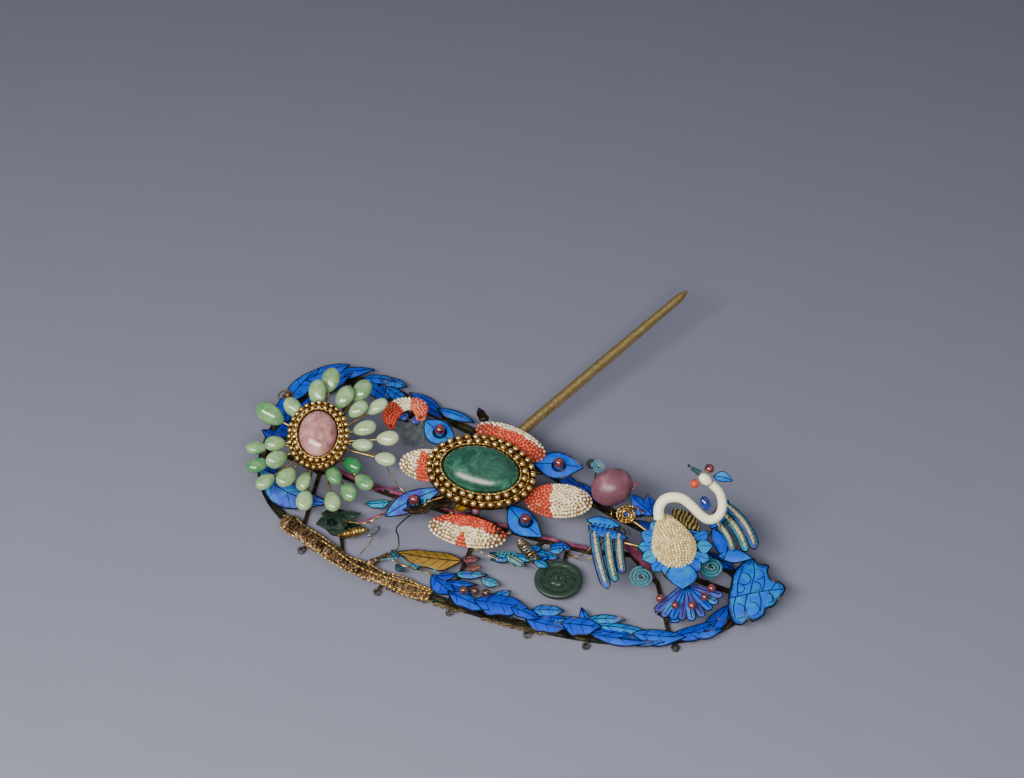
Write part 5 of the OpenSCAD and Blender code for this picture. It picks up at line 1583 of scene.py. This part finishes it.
class ORNAMENT_OT_small_wires(bpy.types.Operator):
    """Scraps of leaf, springs, curls, loose wires and small beads between the flowers"""
    bl_idname = "ornament.small_wires"
    bl_label = "Small wires and beads"

    def execute(self, context):
        self.scraps()
        self.wires()
        self.beads()
        return {"FINISHED"}

    def scraps(self):
        """Each group of scraps, with wire round every edge."""
        finishes = {"feather": (kingfisher_feather(), "feather_light"),
                    "teal": (teal_strip(), "feather_light"), "bark": (chased_bark(), "gilt"),
                    "amber": (carved_amber(), "amber"), "silk": (wound_silk(), "silk"),
                    "jade": (dark_jade(), "dark_jade"),
                    "faded": (padding("faded_rose_silk", "#8A4A4E", "#4A2426"), "silk")}
        for name, z, kind, rows, tones in SCRAPS:
            finish, slot = finishes[kind]
            feather_leaves(name, rows, z, tones, finish=finish, veins=0 if kind == "silk" else 2,
                           rim_r=0.16, rib_r=0.14, wire_finish=finish if kind == "silk" else None)

    def wires(self):
        """Loose wires, springs, curls, the filigree below the front leaves and the gauze."""
        kinds = {"gilt": (fire_gilt(), "gilt"), "dark": (old_gilt(), "gilt"),
                 "teal": (teal_strip(), "enamel_blue"), "silk": (wound_silk(), "silk")}
        made = {kind: [] for kind in kinds}
        for kind, radius, points in WIRES:
            path = smooth(points, 8)
            twisted = kind in ("gilt", "silk")
            made[kind].append(wire(strands(path, radius * 0.55, 1.8) if twisted else [path],
                                   radius * (0.6 if twisted else 1)))
        for kind, radius, *row in SPRINGS:
            made[kind].append(wire([spring(*row)], radius))
        for kind, at, r, turns, tilt in CURLS:
            turn = Matrix.Translation(at) @ turned(AZIMUTH) @ turned(tilt, "X")
            steps = int(turns * 20)
            path = []
            for k in range(steps + 1):
                a, q = 0.314 * k, 0.5 + (r - 0.5) * k / steps
                path.append(turn @ Vector((q * cos(a), q * sin(a), 0)))
            made[kind].append(wire([path], 0.26))
        # Filigree: first place on the rim, number of loops, half width
        for first, turns, wide in ((3.5, 7, 1.0), (4.08, 4, 0.8), (4.6, 9, 0.7)):
            path = []
            for k in range(turns * 14 + 1):
                a = 2 * pi * k / 14
                path.append(rim_point(first + 0.075 * k / 14 + 0.035 * cos(a),
                                      1.5 + wide + wide * sin(a), 1.1))
            made["gilt"].append(wire([path], 0.24))
        for kind, meshes in made.items():
            finish, slot = kinds[kind]
            join(f"loose_{kind}_wires", [single(mesh, 0, 0.55) for mesh in meshes], [finish])
        # Corners of the gauze, whose threads run both ways between them
        a, b, c, d = [Vector(p) for p in ((-50.6, 14.6, 7.6), (-44, 19.4, 8), (-37.6, 8, 9.4), (-44.6, 4, 9))]
        rng = random.Random(5)
        net = []
        for left, right in (((a, d), (b, c)), ((a, b), (d, c))):
            for k in range(11):
                t = min(1, max(0, (k + rng.uniform(-0.3, 0.3)) / 10))
                start, end = left[0].lerp(left[1], t), right[0].lerp(right[1], t)
                net.append([start.lerp(end, u) + Vector((rng.uniform(-0.5, 0.5), rng.uniform(-0.5, 0.5),
                                                         -1.4 * sin(pi * u) + rng.uniform(-0.3, 0.3)))
                            for u in (0, 0.14, 0.28, 0.42, 0.56, 0.7, 0.84, 1)])
        join("silk_gauze", [single(wire([smooth(row, 3) for row in net], 0.11, 5))], [gauze()])

    def beads(self):
        """Loose beads and the crystal on the lower left."""
        kinds = {"brown": (brown_bead(), "garnet"), "rose": (pink_stone(), "garnet"),
                 "gilt": (bright_gilt(), "gilt"), "coral": (coral_bead(), "coral")}
        for kind, (finish, slot) in kinds.items():
            places = [Matrix.Translation(at) @ Matrix.Scale(r, 4) for k, at, r in LOOSE_BEADS if k == kind]
            join(f"loose_{kind}_beads", [(ball(20, 14), places, 0, 0.6)], [finish])
        drop = Matrix.Translation((-42, -36.4, 4.4)) @ turned(70) @ Matrix.Diagonal((6.4, 2.8, 2.8, 1))
        join("crystal_drop", [(drop_shape(), [drop], 0, 0.5)], [clear_crystal()])


class ORNAMENT_OT_stage(bpy.types.Operator):
    """Plain pale floor, soft studio light and the camera"""
    bl_idname = "ornament.stage"
    bl_label = "Floor, light and camera"

    def execute(self, context):
        scene = context.scene
        colours = scene.ornament_colours
        bm = bmesh.new()
        bmesh.ops.create_grid(bm, x_segments=1, y_segments=1, size=4)
        bmesh.ops.translate(bm, verts=bm.verts, vec=(0, 0, -0.00005))
        floor = bpy.data.objects.new("floor", shape(bm))
        scene.collection.objects.link(floor)
        # Pale grey paper with a faint tooth, and a painted falloff of light that darkens it towards the back
        # of the picture
        material, tree, shader = new_material("pale_grey_paper", Roughness=0.9)
        place = add(tree, "ShaderNodeTexCoord")
        low, high = [tuple(c * k for c in colours.ground) + (1.0,) for k in (0.97, 1.03)]
        mixed = add(tree, "ShaderNodeMix", {0: (grained(tree, place, 30, 3.0), "Fac"), 6: low, 7: high},
                    data_type="RGBA")
        back_way = add(tree, "ShaderNodeVectorMath", {0: (place, "Object"), 1: (-0.358, 0.934, 0)},
                       operation="DOT_PRODUCT")
        # Painted light falloff: brighter at the front, darker to the back
        painted_falloff = add(tree, "ShaderNodeMapRange", {"Value": (back_way, "Value"), "From Min": -0.15,
                                                 "From Max": 0.27, "To Min": 1.05, "To Max": 0.7})
        falloff_paper = add(tree, "ShaderNodeVectorMath", {0: (mixed, 2), 3: (painted_falloff, "Result")}, operation="SCALE")
        tree.links.new(falloff_paper.outputs[0], shader.inputs["Base Color"])
        floor.data.materials.append(material)

        def area(name, at, size, power, colour):
            light = bpy.data.lights.new(name, "AREA")
            light.shape, light.size, light.size_y = "RECTANGLE", size[0], size[1]
            light.energy, light.color = power, colour
            lamp = bpy.data.objects.new(name, light)
            lamp.location = at
            lamp.rotation_euler = (-Vector(at)).to_track_quat("-Z", "Y").to_euler()
            scene.collection.objects.link(lamp)

        # Softboxes: name, place, width and height, power, colour
        area("key", (-0.06, -0.55, 0.55), (0.9, 0.22), 11.2, tuple(colours.light))
        area("fill", (0.5, 0.5, 2.0), (2.6, 2.6), 7, (0.92, 0.95, 1.0))
        world = bpy.data.worlds.new("studio")
        scene.world = world
        world.use_nodes = True
        sky = world.node_tree.nodes["Background"].inputs
        sky["Color"].default_value = (0.62, 0.68, 0.76, 1)
        sky["Strength"].default_value = 0.32

        camera = bpy.data.cameras.new("camera")
        camera.lens, camera.sensor_width = 100, 36
        eye = bpy.data.objects.new("camera", camera)
        azimuth, elevation = radians(AZIMUTH), radians(ELEVATION)
        back = Vector((sin(azimuth) * cos(elevation), -cos(azimuth) * cos(elevation),
                       sin(elevation)))
        # Place and direction of the photograph's camera, found from the picture
        eye.location = (0.24124, -0.66468, 0.76561)
        eye.rotation_mode = "QUATERNION"
        eye.rotation_quaternion = (-back).to_track_quat("-Z", "Y")
        scene.collection.objects.link(eye)
        scene.camera = eye
        return {"FINISHED"}


class ORNAMENT_PT_panel(bpy.types.Panel):
    """Steps of the ornament"""
    bl_label = "Hair ornament"
    bl_space_type = "VIEW_3D"
    bl_region_type = "UI"
    bl_category = "Ornament"

    def draw(self, context):
        sizes = context.scene.ornament_sizes
        for key in ("rope_r", "rope_pitch", "seed_r", "body_r", "thread_turn", "bark_ridges"):
            self.layout.prop(sizes, key)
        for key in ("ground", "light"):
            self.layout.prop(context.scene.ornament_colours, key)
        for operator in OPERATORS:
            self.layout.operator(operator.bl_idname)


OPERATORS = (
    ORNAMENT_OT_base, ORNAMENT_OT_trunk, ORNAMENT_OT_border_leaves, ORNAMENT_OT_end_leaf,
    ORNAMENT_OT_chrysanthemum, ORNAMENT_OT_stone_flower, ORNAMENT_OT_bud, ORNAMENT_OT_carvings,
    ORNAMENT_OT_crane, ORNAMENT_OT_small_wires, ORNAMENT_OT_stage,
)
CLASSES = (OrnamentSizes, OrnamentColours, *OPERATORS, ORNAMENT_PT_panel)


def register():
    for cls in CLASSES:
        bpy.utils.register_class(cls)
    bpy.types.Scene.ornament_sizes = PointerProperty(type=OrnamentSizes)
    bpy.types.Scene.ornament_colours = PointerProperty(type=OrnamentColours)


def unregister():
    del bpy.types.Scene.ornament_sizes
    del bpy.types.Scene.ornament_colours
    for cls in reversed(CLASSES):
        bpy.utils.unregister_class(cls)


def main():
    register()
    bpy.ops.ornament.base()
    bpy.ops.ornament.trunk()
    bpy.ops.ornament.border_leaves()
    bpy.ops.ornament.end_leaf()
    bpy.ops.ornament.chrysanthemum()
    bpy.ops.ornament.stone_flower()
    bpy.ops.ornament.bud()
    bpy.ops.ornament.carvings()
    bpy.ops.ornament.crane()
    bpy.ops.ornament.small_wires()
    bpy.ops.ornament.stage()


if __name__ == "__main__":
    main()
